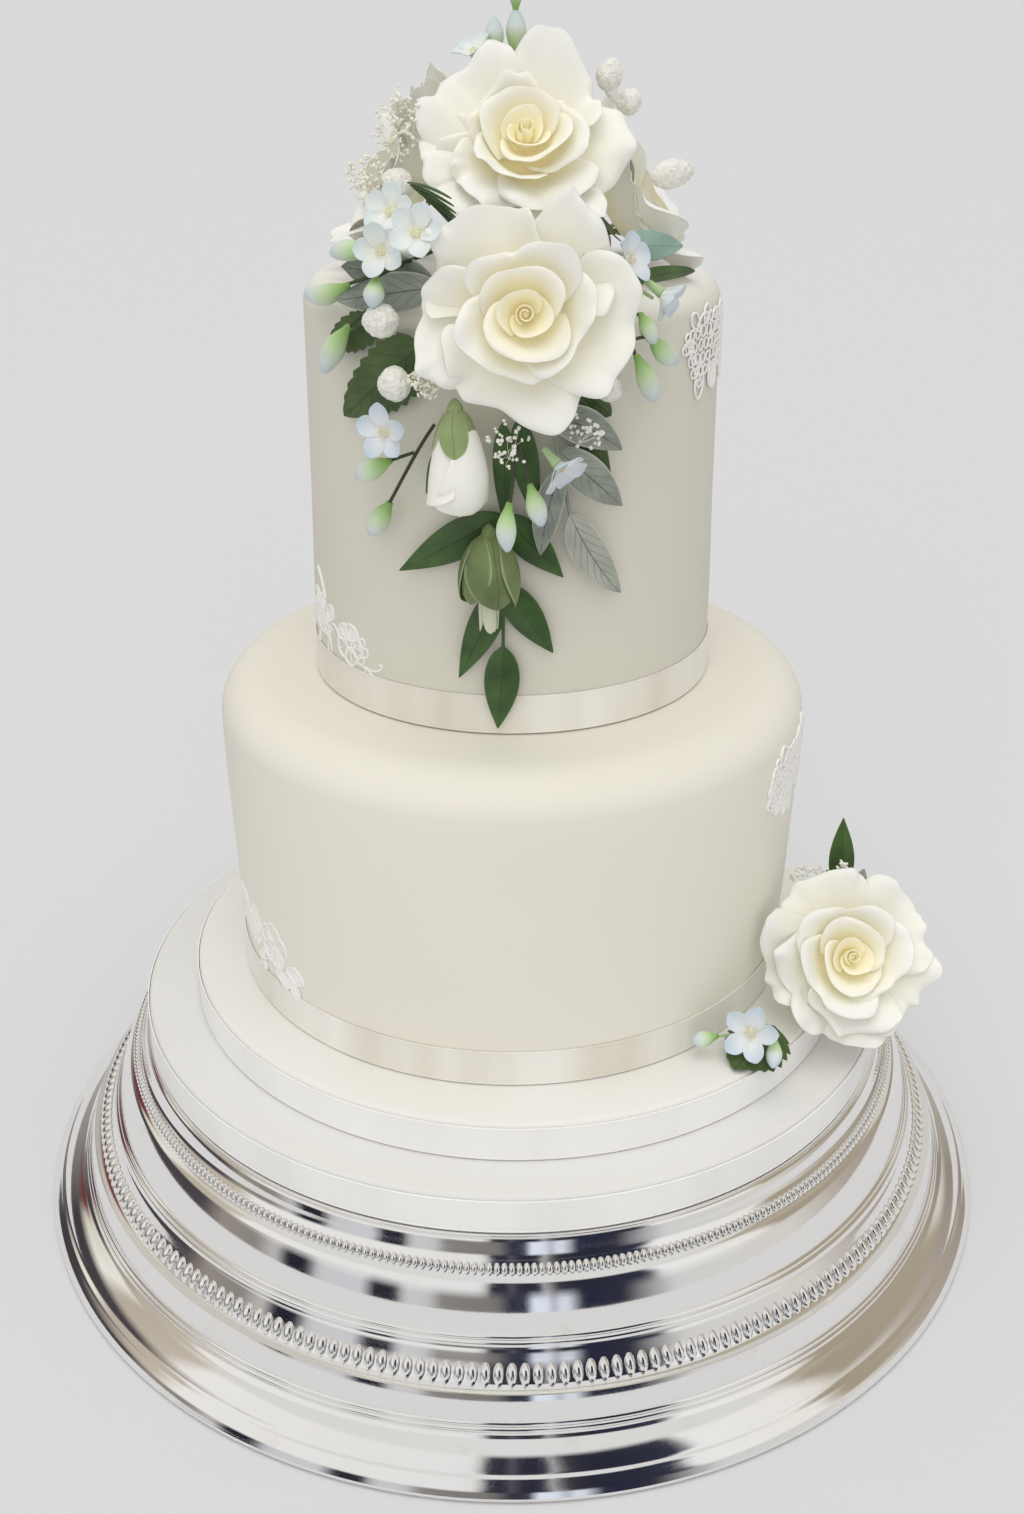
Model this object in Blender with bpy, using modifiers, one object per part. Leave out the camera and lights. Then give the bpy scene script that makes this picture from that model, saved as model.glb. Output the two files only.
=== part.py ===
"""Two-tier sugar-paste wedding cake on two cake boards and a turned, silver-plated stand.

Metres, +Z up. The origin is the middle of the stand's foot and the front of the cake looks along -Y.
Flowers are placed by an angle round the cake (0 at the front, positive towards +X), by their reach from
its axis, and by their height over the top of the upper tier.
"""

import math

import bmesh
import bpy
from mathutils import Matrix, Vector

GAP = 0.0003
SIDES = 36  # facets of every large round piece

# Stand
STAND_HEIGHT = 0.0791
STAND_FOOT_RADIUS = 0.2097
STAND_TOP_RADIUS = 0.1618
STAND_METAL = 0.0030

# Boards, each with a ribbon round its edge
BOARD_LOWER_RADIUS = 0.1600
BOARD_UPPER_RADIUS = 0.1397
BOARD_THICKNESS = 0.0159
BOARD_EDGE = 0.0016
BOARD_UPPER_SHIFT = 0.0022

# Tiers
TIER_LOWER_RADIUS = 0.1154
TIER_LOWER_BELLY = 0.1180
TIER_LOWER_HEIGHT = 0.1285
TIER_LOWER_EDGE = 0.0170
TIER_UPPER_RADIUS = 0.0782
TIER_UPPER_SHOULDER = 0.0765
TIER_UPPER_HEIGHT = 0.1513
TIER_UPPER_EDGE = 0.0100
RIBBON_WIDTH = 0.0150
RIBBON_THICKNESS = 0.0006

# Levels, worked out from the above
BOARD_LOWER_BASE = STAND_HEIGHT + GAP
BOARD_UPPER_BASE = BOARD_LOWER_BASE + BOARD_THICKNESS + GAP
TIER_LOWER_BASE = BOARD_UPPER_BASE + BOARD_THICKNESS + GAP
TIER_UPPER_BASE = TIER_LOWER_BASE + TIER_LOWER_HEIGHT + GAP
SPRAY_LEVEL = TIER_UPPER_BASE + TIER_UPPER_HEIGHT

# Flowers
ROSE_RADIUS = 0.0345
BLOSSOM_RADIUS = 0.0095
BUD_RADIUS = 0.0041
WIRE_RADIUS = 0.0008
LEAF_THICKNESS = 0.0008
LACE_THICKNESS = 0.0009


# ---------------------------------------------------------------- scene and materials


def clear_scene():
    for thing in list(bpy.data.objects):
        bpy.data.objects.remove(thing, do_unlink=True)


def new_collection(name):
    collection = bpy.data.collections.new(name)
    bpy.context.scene.collection.children.link(collection)
    return collection


def material(name, colour, roughness, metallic=0.0):
    made = bpy.data.materials.new(name)
    made.use_nodes = True
    shader = made.node_tree.nodes["Principled BSDF"]
    shader.inputs["Base Color"].default_value = (*colour, 1.0)
    shader.inputs["Roughness"].default_value = roughness
    shader.inputs["Metallic"].default_value = metallic
    made.diffuse_color = (*colour, 1.0)
    return made


def add_object(name, mesh, finish, collection):
    made = bpy.data.objects.new(name, mesh)
    mesh.materials.clear()
    mesh.materials.append(finish)
    mesh.shade_smooth()
    mesh.set_sharp_from_angle(angle=math.radians(40))
    collection.objects.link(made)
    return made


# ---------------------------------------------------------------- places


def around(angle, reach, height):
    """A point by its angle round the cake in degrees, its reach, and its height over the spray's level."""
    turn = math.radians(angle)
    return Vector((reach * math.sin(turn), -reach * math.cos(turn), SPRAY_LEVEL + height))


def facing(point, direction, roll=0.0):
    """Puts a shape's +Z along a direction, with its own turn about it first."""
    turned = Vector(direction).to_track_quat("Z", "Y").to_matrix().to_4x4()
    return Matrix.Translation(point) @ turned @ Matrix.Rotation(math.radians(roll), 4, "Z")


def spanning(root, tip, outward):
    """Puts a shape's +Z from root to tip, and its +Y as near to outward as that allows."""
    along = (tip - root).normalized()
    across = Vector(outward).cross(along).normalized()
    up = along.cross(across)
    turned = Matrix((across, up, along)).transposed().to_4x4()
    return Matrix.Translation(root) @ turned


def outward_at(point):
    return Vector((point.x, point.y, 0.0)).normalized()


# ---------------------------------------------------------------- general shapes


def turned(name, outline, finish, collection, shift=0.0, steps=SIDES):
    """A turned piece. The outline is (radius, height), down the outer side from top to bottom."""
    mesh = bpy.data.meshes.new(name)
    outline = list(outline)
    closed = outline[0][0] > 0.0
    edges = [(k, k + 1) for k in range(len(outline) - 1)]
    if closed:
        edges.append((len(outline) - 1, 0))
    mesh.from_pydata([(radius, 0.0, height) for radius, height in outline], edges, [])
    made = add_object(name, mesh, finish, collection)
    made.location.x = shift
    screw = made.modifiers.new("Turn", "SCREW")
    screw.steps = steps
    screw.render_steps = steps
    screw.use_merge_vertices = True
    screw.merge_threshold = 0.00001
    return made


def rounded(centre_radius, centre_height, size, start, end, count):
    """Points of an arc, from one angle to another in degrees, 0 pointing outwards and 90 up."""
    points = []
    for k in range(count):
        angle = math.radians(start + (end - start) * k / (count - 1))
        points.append((centre_radius + size * math.cos(angle), centre_height + size * math.sin(angle)))
    return points


def shaped_ball(name, sides, rings, shape, finish, collection, matrix):
    """A ball whose points are moved by shape(ring, turn), ring 0 being the front pole and turn in radians."""
    ball = bmesh.new()
    bmesh.ops.create_uvsphere(ball, u_segments=sides, v_segments=rings, radius=1.0)
    for point in ball.verts:
        ring = round(math.acos(max(-1.0, min(1.0, point.co.z))) / math.pi * rings)
        turn = math.atan2(point.co.y, point.co.x)
        point.co = matrix @ Vector(shape(ring, turn))
    mesh = bpy.data.meshes.new(name)
    ball.to_mesh(mesh)
    ball.free()
    return add_object(name, mesh, finish, collection)


def wire(name, points, radius, finish, collection):
    """A wire or stem along points, as a closed four-sided tube."""
    line = bpy.data.curves.new(name, "CURVE")
    line.dimensions = "3D"
    line.bevel_depth = radius
    line.bevel_resolution = 0
    line.use_fill_caps = True
    path = line.splines.new("POLY")
    path.points.add(len(points) - 1)
    for spot, point in zip(path.points, points):
        spot.co = (*point, 1.0)
    guide = bpy.data.objects.new(name + "_line", line)
    collection.objects.link(guide)
    bpy.context.view_layer.update()
    seen = guide.evaluated_get(bpy.context.evaluated_depsgraph_get())
    mesh = bpy.data.meshes.new_from_object(seen)
    bpy.data.objects.remove(guide, do_unlink=True)
    joined = bmesh.new()
    joined.from_mesh(mesh)
    bmesh.ops.remove_doubles(joined, verts=joined.verts, dist=0.00001)
    joined.to_mesh(mesh)
    joined.free()
    return add_object(name, mesh, finish, collection)


def united(name, pieces):
    """Makes one body of pieces that run into each other. The first one keeps the name."""
    whole = pieces[0]
    whole.name = name
    for other in pieces[1:]:
        for home in list(other.users_collection):
            home.objects.unlink(other)
        helpers.objects.link(other)
        other.hide_render = True
        other.display_type = "WIRE"
        union = whole.modifiers.new("Joined " + other.name, "BOOLEAN")
        union.operation = "UNION"
        union.object = other
    return whole


# ---------------------------------------------------------------- flowers and leaves

# Rings of a rose from its heart to its stem: reach, height and how far the petals lobe, over its radius
ROSE_RINGS = (
    (0.00, 0.16, 0.00),
    (0.12, 0.25, 0.05),
    (0.25, 0.06, 0.10),
    (0.52, 0.20, 0.15),
    (0.60, -0.08, 0.10),
    (0.94, 0.02, 0.18),
    (0.64, -0.30, 0.05),
    (0.24, -0.56, 0.00),
    (0.00, -0.66, 0.00),
)


def rose(name, point, direction, roll, radius=ROSE_RADIUS):
    """An open rose: a heart, a cup of inner petals and five broad outer petals on a calyx."""

    def shape(ring, turn):
        reach, height, lobe = ROSE_RINGS[ring]
        swing = 0.6 * ring
        petals = abs(math.cos(2.5 * turn + swing))
        out = radius * (reach + lobe * (petals - 0.6))
        return (out * math.cos(turn), out * math.sin(turn), radius * (height + 0.4 * lobe * petals))

    place = facing(point, direction, roll)
    return shaped_ball(name, 20, len(ROSE_RINGS) - 1, shape, ivory_petal, cake, place)


def half_open_rose(name, root, tip, radius, petal, flare):
    """A rosebud that hangs from root to tip, with sepals round its neck and petals wrapped to its mouth."""
    length = (tip - root).length
    girth = (0.0, 0.62, 1.0, 0.95, 0.70 + flare, 0.0)

    def shape(ring, turn):
        wrap = 1.0 + 0.10 * math.cos(3.0 * turn + ring)
        out = radius * girth[5 - ring] * wrap
        along = length * (1.0 - ring / 5.0)
        if ring == 0:
            along = length * (0.97 if flare else 1.0)
        return (out * math.cos(turn), out * math.sin(turn), along)

    return shaped_ball(name, 10, 5, shape, petal, cake, spanning(root, tip, outward_at(root)))


def bud(name, base, tip, radius=BUD_RADIUS):
    """A small closed filler bud, fullest a third of the way to its tip."""
    length = (tip - base).length
    girth = (0.0, 0.72, 1.0, 0.55, 0.0)

    def shape(ring, turn):
        out = radius * girth[ring]
        return (out * math.cos(turn), out * math.sin(turn), length * (1.0 - ring / 4.0))

    return shaped_ball(name, 6, 4, shape, blue_bud, cake, spanning(base, tip, outward_at(base)))


def blossom(name, point, direction, roll, radius=BLOSSOM_RADIUS):
    """A five-petalled blossom on a short tube."""
    rings = ((0.0, 0.10), (1.0, 0.22), (0.25, -0.25), (0.0, -0.95))

    def shape(ring, turn):
        reach, height = rings[ring]
        petal = 0.82 + 0.22 * math.sin(5.0 * turn) if ring == 1 else 1.0
        out = radius * reach * petal
        return (out * math.cos(turn), out * math.sin(turn), radius * height)

    place = facing(point, direction, roll)
    return shaped_ball(name, 10, 3, shape, blue_petal, cake, place)


def berry(name, base, tip, radius):
    """An egg-shaped berry, blunt at its tip and drawn in at its stalk."""
    length = (tip - base).length
    girth = (0.0, 0.78, 1.0, 0.70, 0.0)

    def shape(ring, turn):
        out = radius * girth[ring]
        return (out * math.cos(turn), out * math.sin(turn), length * (1.0 - ring / 4.0))

    return shaped_ball(name, 8, 4, shape, white_berry, cake, spanning(base, tip, outward_at(base)))


def leaf(name, root, tip, width, outward, finish, arch=0.08, thickness=LEAF_THICKNESS):
    """A pointed leaf, folded a little along its rib and arched over its length."""
    length = (tip - root).length

    def shape(ring, turn):
        share = 1.0 - ring / 5.0
        side = math.cos(turn)
        out = 0.5 * width * math.sin(math.pi * share ** 0.8) * side
        lift = 4.0 * arch * length * share * (1.0 - share) - 0.22 * abs(out)
        skin = thickness * math.sin(turn) if 0 < ring < 5 else 0.0
        return (out, lift + skin, length * share)

    return shaped_ball(name, 4, 5, shape, finish, cake, spanning(root, tip, outward))


def clump(name, point, size, stretch=(1.0, 1.0, 1.0)):
    """The uneven outline of a cluster of tiny gypsophila heads."""

    def shape(ring, turn):
        level = math.pi * ring / 5.0
        out = size * (1.0 + 0.16 * math.cos(3.0 * turn + 2.0 * ring)) * math.sin(level)
        high = size * math.cos(level)
        return (
            stretch[0] * out * math.cos(turn),
            stretch[1] * out * math.sin(turn),
            stretch[2] * high,
        )

    return shaped_ball(name, 8, 5, shape, gypsophila, cake, Matrix.Translation(point))


# ---------------------------------------------------------------- cake pieces


def make_stand():
    """The plated stand: a hollow turned wall, a top plate, and two rings of beads soldered on the wall."""
    foot = STAND_FOOT_RADIUS
    wall = [
        (0.1618, 0.0768),
        (0.1636, 0.0704),
        (0.1661, 0.0662),
        (0.1693, 0.0659),
        (0.1708, 0.0560),
        (0.1776, 0.0394),
        (0.1839, 0.0306),
        (0.1889, 0.0305),
        (0.1922, 0.0180),
        (0.2044, 0.0079),
        (foot, 0.0031),
        (foot, 0.0),
    ]
    metal = STAND_METAL
    inside = [
        (foot - 0.0050, 0.0),
        (foot - 0.0085, 0.0048),
        (0.1889 - metal, 0.0160),
        (0.1776 - metal, 0.0350),
        (0.1618 - metal, 0.0768),
    ]
    turned("stand_wall", wall + inside, silver, cake)
    top = STAND_TOP_RADIUS
    plate = [(0.0, STAND_HEIGHT), (top, STAND_HEIGHT), (top, 0.0768 + GAP), (0.0, 0.0768 + GAP)]
    turned("stand_top", plate, silver, cake)
    bead_ring("stand_beads_large", 0.18335, 0.03530, 0.0044, 0.0017, 126.0)
    bead_ring("stand_beads_small", 0.16710, 0.06950, 0.0021, 0.0013, 121.0)


def bead_ring(name, radius, height, half_length, half_depth, lean):
    """The outline of a ring of close-set beads, as long as they are and leaning with the wall."""
    tilt = math.radians(lean)
    long_way = Vector((math.cos(tilt), math.sin(tilt)))
    deep_way = Vector((math.sin(tilt), -math.cos(tilt)))
    outline = []
    for along, out in ((1.0, -0.5), (0.4, 1.0), (-0.4, 1.0), (-1.0, -0.5)):
        point = long_way * along * half_length + deep_way * out * half_depth
        outline.append((radius + point.x, height + point.y))
    turned(name, outline, silver, cake)


def make_board(name, radius, base, shift):
    """An iced drum board and the satin ribbon round its edge."""
    core = radius - RIBBON_THICKNESS - GAP
    top = base + BOARD_THICKNESS
    outline = [(0.0, top)]
    outline += rounded(core - BOARD_EDGE, top - BOARD_EDGE, BOARD_EDGE, 90.0, 0.0, 2)
    outline += [(core, base), (0.0, base)]
    turned(name, outline, sugar_paste, cake, shift)
    ribbon(name + "_ribbon", core, base + 0.0002, base + RIBBON_WIDTH - 0.0006, shift)


def ribbon(name, radius, low, high, shift=0.0):
    inner = radius + GAP
    outer = inner + RIBBON_THICKNESS
    turned(name, [(inner, high), (outer, high), (outer, low), (inner, low)], satin, cake, shift)


def make_tiers():
    """Two covered cakes with rounded shoulders, each with a ribbon round its foot."""
    base = TIER_LOWER_BASE
    top = base + TIER_LOWER_HEIGHT
    edge = TIER_LOWER_EDGE
    belly = TIER_LOWER_BELLY
    lower = [(0.0, top)]
    lower += rounded(belly - edge, top - edge, edge, 90.0, 0.0, 4)
    lower += [(belly, top - 0.040), (TIER_LOWER_RADIUS, base + 0.030), (TIER_LOWER_RADIUS, base), (0.0, base)]
    turned("tier_lower", lower, sugar_paste, cake)
    ribbon("tier_lower_ribbon", TIER_LOWER_RADIUS, base + 0.0002, base + RIBBON_WIDTH)

    base = TIER_UPPER_BASE
    top = base + TIER_UPPER_HEIGHT
    edge = TIER_UPPER_EDGE
    shoulder = TIER_UPPER_SHOULDER
    upper = [(0.0, top)]
    upper += rounded(shoulder - edge, top - edge, edge, 90.0, 0.0, 4)
    upper += [(TIER_UPPER_RADIUS, base + 0.030), (TIER_UPPER_RADIUS, base), (0.0, base)]
    turned("tier_upper", upper, sugar_paste, cake)
    ribbon("tier_upper_ribbon", TIER_UPPER_RADIUS, base + 0.0002, base + RIBBON_WIDTH)


def lace(name, start, end, half_width, lobes):
    """A lobed strip of sugar lace on a round wall, between two ends (angle in degrees, radius, height)."""
    cells = 8
    strip = bmesh.new()
    bmesh.ops.create_grid(strip, x_segments=cells, y_segments=2, size=0.5)
    run = Vector((math.radians(end[0] - start[0]) * start[1], end[2] - start[2]))
    side = Vector((-run.y, run.x)).normalized()
    for point in strip.verts:
        share = point.co.x + 0.5
        lobe = 0.45 + 0.55 * abs(math.sin(math.pi * (lobes * share + 0.25)))
        spot = run * share + side * (2.0 * point.co.y * half_width * lobe)
        angle = math.radians(start[0]) + spot.x / start[1]
        radius = start[1] + (end[1] - start[1]) * spot.y / (end[2] - start[2])
        point.co = (radius * math.sin(angle), -radius * math.cos(angle), start[2] + spot.y)
    bmesh.ops.recalc_face_normals(strip, faces=strip.faces)
    if sum(face.normal.dot(outward_at(face.calc_center_median())) for face in strip.faces) < 0.0:
        bmesh.ops.reverse_faces(strip, faces=strip.faces)
    mesh = bpy.data.meshes.new(name)
    strip.to_mesh(mesh)
    strip.free()
    made = add_object(name, mesh, pearl_lace, cake)
    skin = made.modifiers.new("Thickness", "SOLIDIFY")
    skin.thickness = LACE_THICKNESS
    skin.offset = 1.0
    return made


def make_lace():
    """Four appliques: one low on the left and one high on the right of each tier."""
    lower = TIER_LOWER_BELLY + 0.0008
    foot = TIER_LOWER_RADIUS + 0.0014
    upper = TIER_UPPER_RADIUS + 0.0008
    shoulder = TIER_UPPER_SHOULDER + 0.0012
    lace("lace_upper_left", (-80.0, upper, 0.2750), (-40.0, upper, 0.2665), 0.0100, 2.0)
    lace("lace_upper_right", (50.0, shoulder, 0.3700), (96.0, shoulder, 0.3650), 0.0120, 1.5)
    lace("lace_lower_left", (-74.0, foot, 0.1475), (-36.0, foot, 0.1410), 0.0100, 2.0)
    lace("lace_lower_right", (50.0, lower, 0.2110), (96.0, lower, 0.2070), 0.0125, 2.0)


# ---------------------------------------------------------------- the spray on the upper tier


def make_roses():
    """Five roses in a dome over the upper tier, and one that leans on the boards."""
    rose("rose_front", around(2.5, 0.1030, 0.0020), (0.00, -0.98, 0.18), 18.0)
    rose("rose_top", around(5.5, 0.0470, 0.0500), (0.02, -0.79, 0.61), 0.0)
    rose("rose_left", around(-78.0, 0.0430, 0.0350), (-0.82, -0.18, 0.54), 10.0, 0.0320)
    rose("rose_right", around(77.0, 0.0470, 0.0290), (0.84, -0.15, 0.52), 30.0, 0.0320)
    rose("rose_back", around(178.0, 0.0430, 0.0340), (0.02, 0.80, 0.60), 25.0, 0.0330)
    side = Vector((0.1335, -0.0735, 0.1415))
    rose("rose_side", side, (0.06, -0.83, 0.55), 8.0, 0.0350)


def make_rosebuds():
    """A half-open white bud and a closed green one, hanging under the front rose."""
    white_top = around(-11.5, 0.0925, -0.0290)
    white_tip = around(-10.0, 0.0980, -0.0650)
    half_open_rose("rosebud_white", white_top, white_tip, 0.0105, ivory_petal, 0.15)
    green_top = around(-4.8, 0.0920, -0.0705)
    green_tip = around(-5.0, 0.0915, -0.1060)
    half_open_rose("rosebud_green", green_top, green_tip, 0.0098, green_sepal, 0.0)


def leaf_between(name, root, tip, width, finish, arch=0.08):
    """A leaf from root to tip, each (angle, reach, height), that shows its face outwards."""
    start = around(*root)
    return leaf(name, start, around(*tip), width, outward_at(start), finish, arch)


def make_leaves():
    """Foliage: a trail of dark ruscus, dusty grey leaves, and rose leaves behind the front rose."""
    stem = wire(
        "trail_stem",
        [around(-2.0, 0.0830, -0.045), around(-2.0, 0.0815, -0.080), around(-2.2, 0.0812, -0.118)],
        WIRE_RADIUS,
        dark_leaf,
        cake,
    )
    pairs = (
        ((-2.0, 0.0815, -0.0680), (-28.4, 0.0830, -0.0910), 0.0135),
        ((-2.0, 0.0815, -0.0680), (12.5, 0.0820, -0.0910), 0.0120),
        ((-2.2, 0.0812, -0.0930), (-13.4, 0.0815, -0.1290), 0.0115),
        ((-2.2, 0.0812, -0.0930), (10.3, 0.0815, -0.1190), 0.0120),
        ((-2.2, 0.0812, -0.1160), (-3.6, 0.0815, -0.1480), 0.0125),
    )
    trail = [leaf_between(f"trail_leaf_{k}", *ends, dark_leaf, 0.05) for k, ends in enumerate(pairs)]
    united("ruscus_trail", [stem, *trail])

    stem = wire(
        "grey_stem",
        [around(8.0, 0.0855, -0.030), around(11.0, 0.0850, -0.052), around(14.0, 0.0830, -0.070)],
        WIRE_RADIUS,
        grey_leaf,
        cake,
    )
    pairs = (
        ((8.4, 0.0855, -0.0330), (25.0, 0.0870, -0.0465), 0.0125),
        ((10.1, 0.0852, -0.0455), (26.0, 0.0855, -0.0665), 0.0130),
        ((11.0, 0.0850, -0.0515), (6.5, 0.0855, -0.0815), 0.0100),
        ((13.5, 0.0835, -0.0680), (27.4, 0.0830, -0.0990), 0.0125),
    )
    grey = [leaf_between(f"grey_leaf_{k}", *ends, grey_leaf, 0.06) for k, ends in enumerate(pairs)]
    united("grey_leaves_right", [stem, *grey])

    pairs = (
        ((-17.0, 0.0800, 0.0060), (-51.0, 0.0740, 0.0075), 0.0150),
        ((-17.0, 0.0800, 0.0060), (-44.0, 0.0840, -0.0010), 0.0130),
    )
    grey = [leaf_between(f"dusty_leaf_{k}", *ends, grey_leaf, 0.06) for k, ends in enumerate(pairs)]
    tie = [around(-13.0, 0.0800, 0.0070), around(-17.0, 0.0800, 0.0060), around(-22.0, 0.0800, 0.0055)]
    united("grey_leaves_left", [wire("dusty_stem", tie, WIRE_RADIUS, grey_leaf, cake), *grey])

    leaf_between("rose_leaf_left_low", (-21.0, 0.0830, -0.0120), (-45.5, 0.0812, -0.0405), 0.0210, rose_leaf)
    leaf_between("rose_leaf_left_high", (-33.0, 0.0815, -0.0060), (-52.0, 0.0800, -0.0180), 0.0110, rose_leaf)
    pairs = (
        ((12.0, 0.0805, -0.0230), (24.5, 0.0800, -0.0365), 0.0140),
        ((12.0, 0.0805, -0.0260), (25.3, 0.0795, -0.0590), 0.0105),
    )
    dark = [leaf_between(f"right_leaf_{k}", *ends, rose_leaf, 0.02) for k, ends in enumerate(pairs)]
    united("dark_leaves_right", dark)
    leaf_between("long_leaf_right", (33.0, 0.0700, 0.0050), (66.0, 0.0700, 0.0035), 0.0050, dark_leaf)
    leaf_between("teal_leaf_right", (38.0, 0.0590, 0.0150), (58.0, 0.0690, 0.0130), 0.0100, teal_leaf)


def sprig(name, stem, buds):
    """A wired stem with closed buds, each (its root on the stem, its base, its tip, its radius)."""
    pieces = [wire(name + "_stem", [around(*spot) for spot in stem], WIRE_RADIUS, blue_bud, cake)]
    for k, (root, base, tip, radius) in enumerate(buds):
        start, end = around(*base), around(*tip)
        inside = start.lerp(end, 0.3)
        if root is not None:
            stalk = [around(*root), start, inside]
            pieces.append(wire(f"{name}_stalk_{k}", stalk, WIRE_RADIUS, blue_bud, cake))
        pieces.append(bud(f"{name}_bud_{k}", start, end, radius))
    return united(name, pieces)


def make_buds():
    """Pale blue-green filler buds on wires, between and below the roses."""
    sprig(
        "bud_sprig_left",
        [(-19.0, 0.0740, 0.0165), (-26.0, 0.0800, 0.0120), (-31.5, 0.0810, 0.0110)],
        (
            ((-26.0, 0.0800, 0.0120), (-38.6, 0.0850, 0.0052), (-62.0, 0.0810, -0.0030), 0.0041),
            ((-31.0, 0.0810, 0.0110), (-33.0, 0.0830, 0.0150), (-49.0, 0.0800, 0.0130), 0.0039),
            ((-26.0, 0.0800, 0.0120), (-27.4, 0.0930, 0.0105), (-27.0, 0.0975, 0.0010), 0.0037),
        ),
    )
    sprig(
        "bud_left",
        [(-33.0, 0.0860, -0.0020), (-37.2, 0.0880, -0.0071), (-40.0, 0.0880, -0.0120)],
        ((None, (-37.2, 0.0880, -0.0071), (-48.4, 0.0860, -0.0258), 0.0043),),
    )
    sprig(
        "bud_sprig_low",
        [(-17.5, 0.0850, -0.0375), (-22.0, 0.0870, -0.0470), (-27.0, 0.0870, -0.0620), (-29.5, 0.0870, -0.0675)],
        (
            ((-22.0, 0.0870, -0.0470), (-26.5, 0.0900, -0.0495), (-37.5, 0.0880, -0.0586), 0.0042),
            (None, (-28.3, 0.0870, -0.0650), (-35.6, 0.0850, -0.0793), 0.0044),
        ),
    )
    sprig(
        "bud_pair_front",
        [(1.0, 0.0965, -0.0380), (0.5, 0.0990, -0.0480), (-0.4, 0.1010, -0.0590)],
        (
            (None, (-0.4, 0.1005, -0.0575), (-0.9, 0.1015, -0.0750), 0.0039),
            ((1.0, 0.0965, -0.0380), (3.2, 0.1010, -0.0515), (5.6, 0.1010, -0.0665), 0.0039),
        ),
    )
    sprig(
        "bud_sprig_right",
        [(23.0, 0.0840, -0.0030), (25.5, 0.0900, -0.0100), (26.4, 0.0905, -0.0160)],
        (
            (None, (26.0, 0.0910, -0.0143), (32.7, 0.0880, -0.0318), 0.0041),
            ((25.5, 0.0900, -0.0100), (29.3, 0.0905, -0.0087), (40.0, 0.0860, -0.0204), 0.0040),
            ((23.0, 0.0840, -0.0030), (27.2, 0.0895, -0.0015), (31.0, 0.0905, -0.0120), 0.0034),
        ),
    )
    sprig(
        "bud_sprig_top",
        [(170.0, 0.0060, 0.0040), (172.0, 0.0100, 0.0400), (176.0, 0.0180, 0.0680), (176.0, 0.0185, 0.0880)],
        (
            (None, (176.0, 0.0182, 0.0690), (176.0, 0.0186, 0.0850), 0.0044),
            (None, (176.0, 0.0186, 0.0845), (174.0, 0.0190, 0.0985), 0.0036),
            ((172.0, 0.0100, 0.0400), (-166.0, 0.0170, 0.0680), (-160.0, 0.0170, 0.0810), 0.0035),
        ),
    )


def make_blossoms():
    """Five-petalled blossoms of pale blue sugar, in ones and pairs."""
    first = blossom("blossom_first", around(-26.5, 0.0860, 0.0290), (-0.35, -0.80, 0.48), 10.0)
    second = blossom("blossom_second", around(-26.4, 0.0930, 0.0180), (-0.25, -0.93, 0.20), 40.0)
    tie = [around(-24.0, 0.0780, 0.0260), around(-26.0, 0.0840, 0.0225), around(-26.3, 0.0910, 0.0180)]
    joint = wire("blossom_tie", [*tie, around(-26.3, 0.0850, 0.0275)], WIRE_RADIUS, blue_petal, cake)
    united("blossom_pair_left", [first, second, joint])
    blossom("blossom_left", around(-17.0, 0.1005, 0.0252), (-0.10, -0.90, 0.42), 0.0)
    blossom("blossom_low_left", around(-26.0, 0.0960, -0.0387), (-0.45, -0.86, 0.10), 20.0)
    blossom("blossom_low_right", around(7.4, 0.1040, -0.0450), (0.25, -0.85, -0.35), 15.0)
    first = blossom("blossom_third", around(33.0, 0.0905, 0.0020), (0.60, -0.72, 0.20), 30.0)
    second = blossom("blossom_fourth", around(28.0, 0.0845, 0.0145), (0.45, -0.85, 0.25), 5.0)
    tie = [around(31.5, 0.0870, 0.0020), around(29.0, 0.0740, 0.0060), around(27.9, 0.0800, 0.0135)]
    joint = wire("blossom_tie_right", tie, WIRE_RADIUS, blue_petal, cake)
    united("blossom_pair_right", [first, second, joint])
    blossom("blossom_top", around(-131.0, 0.0180, 0.0745), (-0.30, 0.10, 0.94), 12.0, 0.0080)


def make_berries():
    """White textured berries on wires."""
    berry("berry_upper_left", around(-36.0, 0.0560, 0.0310), around(-42.0, 0.0640, 0.0370), 0.0050)
    berry("berry_middle_left", around(-23.0, 0.0925, -0.0030), around(-30.5, 0.0950, -0.0040), 0.0054)
    berry("berry_lower_left", around(-20.5, 0.0935, -0.0220), around(-27.0, 0.0960, -0.0240), 0.0057)
    berry("berry_lower_right", around(20.0, 0.0850, -0.0240), around(24.0, 0.0870, -0.0290), 0.0042)
    berry("berry_right_long", around(54.0, 0.0580, 0.0345), around(66.0, 0.0680, 0.0370), 0.0048)
    first = berry("berry_top", around(58.0, 0.0370, 0.0610), around(59.5, 0.0400, 0.0715), 0.0044)
    second = berry("berry_second", around(70.0, 0.0390, 0.0545), around(78.0, 0.0450, 0.0600), 0.0042)
    tie = [around(58.5, 0.0380, 0.0640), around(60.0, 0.0345, 0.0590), around(72.0, 0.0410, 0.0560)]
    united("berry_pair_right", [first, second, wire("berry_tie", tie, WIRE_RADIUS, white_berry, cake)])


def make_clumps():
    """Gypsophila, tucked between the flowers."""
    clump("gypsophila_upper_left", around(-40.0, 0.0560, 0.0500), 0.0080, (1.0, 0.6, 1.35))
    clump("gypsophila_lower_left", around(-15.5, 0.0930, -0.0200), 0.0072, (1.0, 0.7, 1.1))
    clump("gypsophila_front", around(4.5, 0.0915, -0.0395), 0.0060, (2.2, 0.6, 0.75))
    clump("gypsophila_side", Vector((0.1215, -0.0370, 0.1540)), 0.0080, (1.1, 0.8, 0.9))


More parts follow.
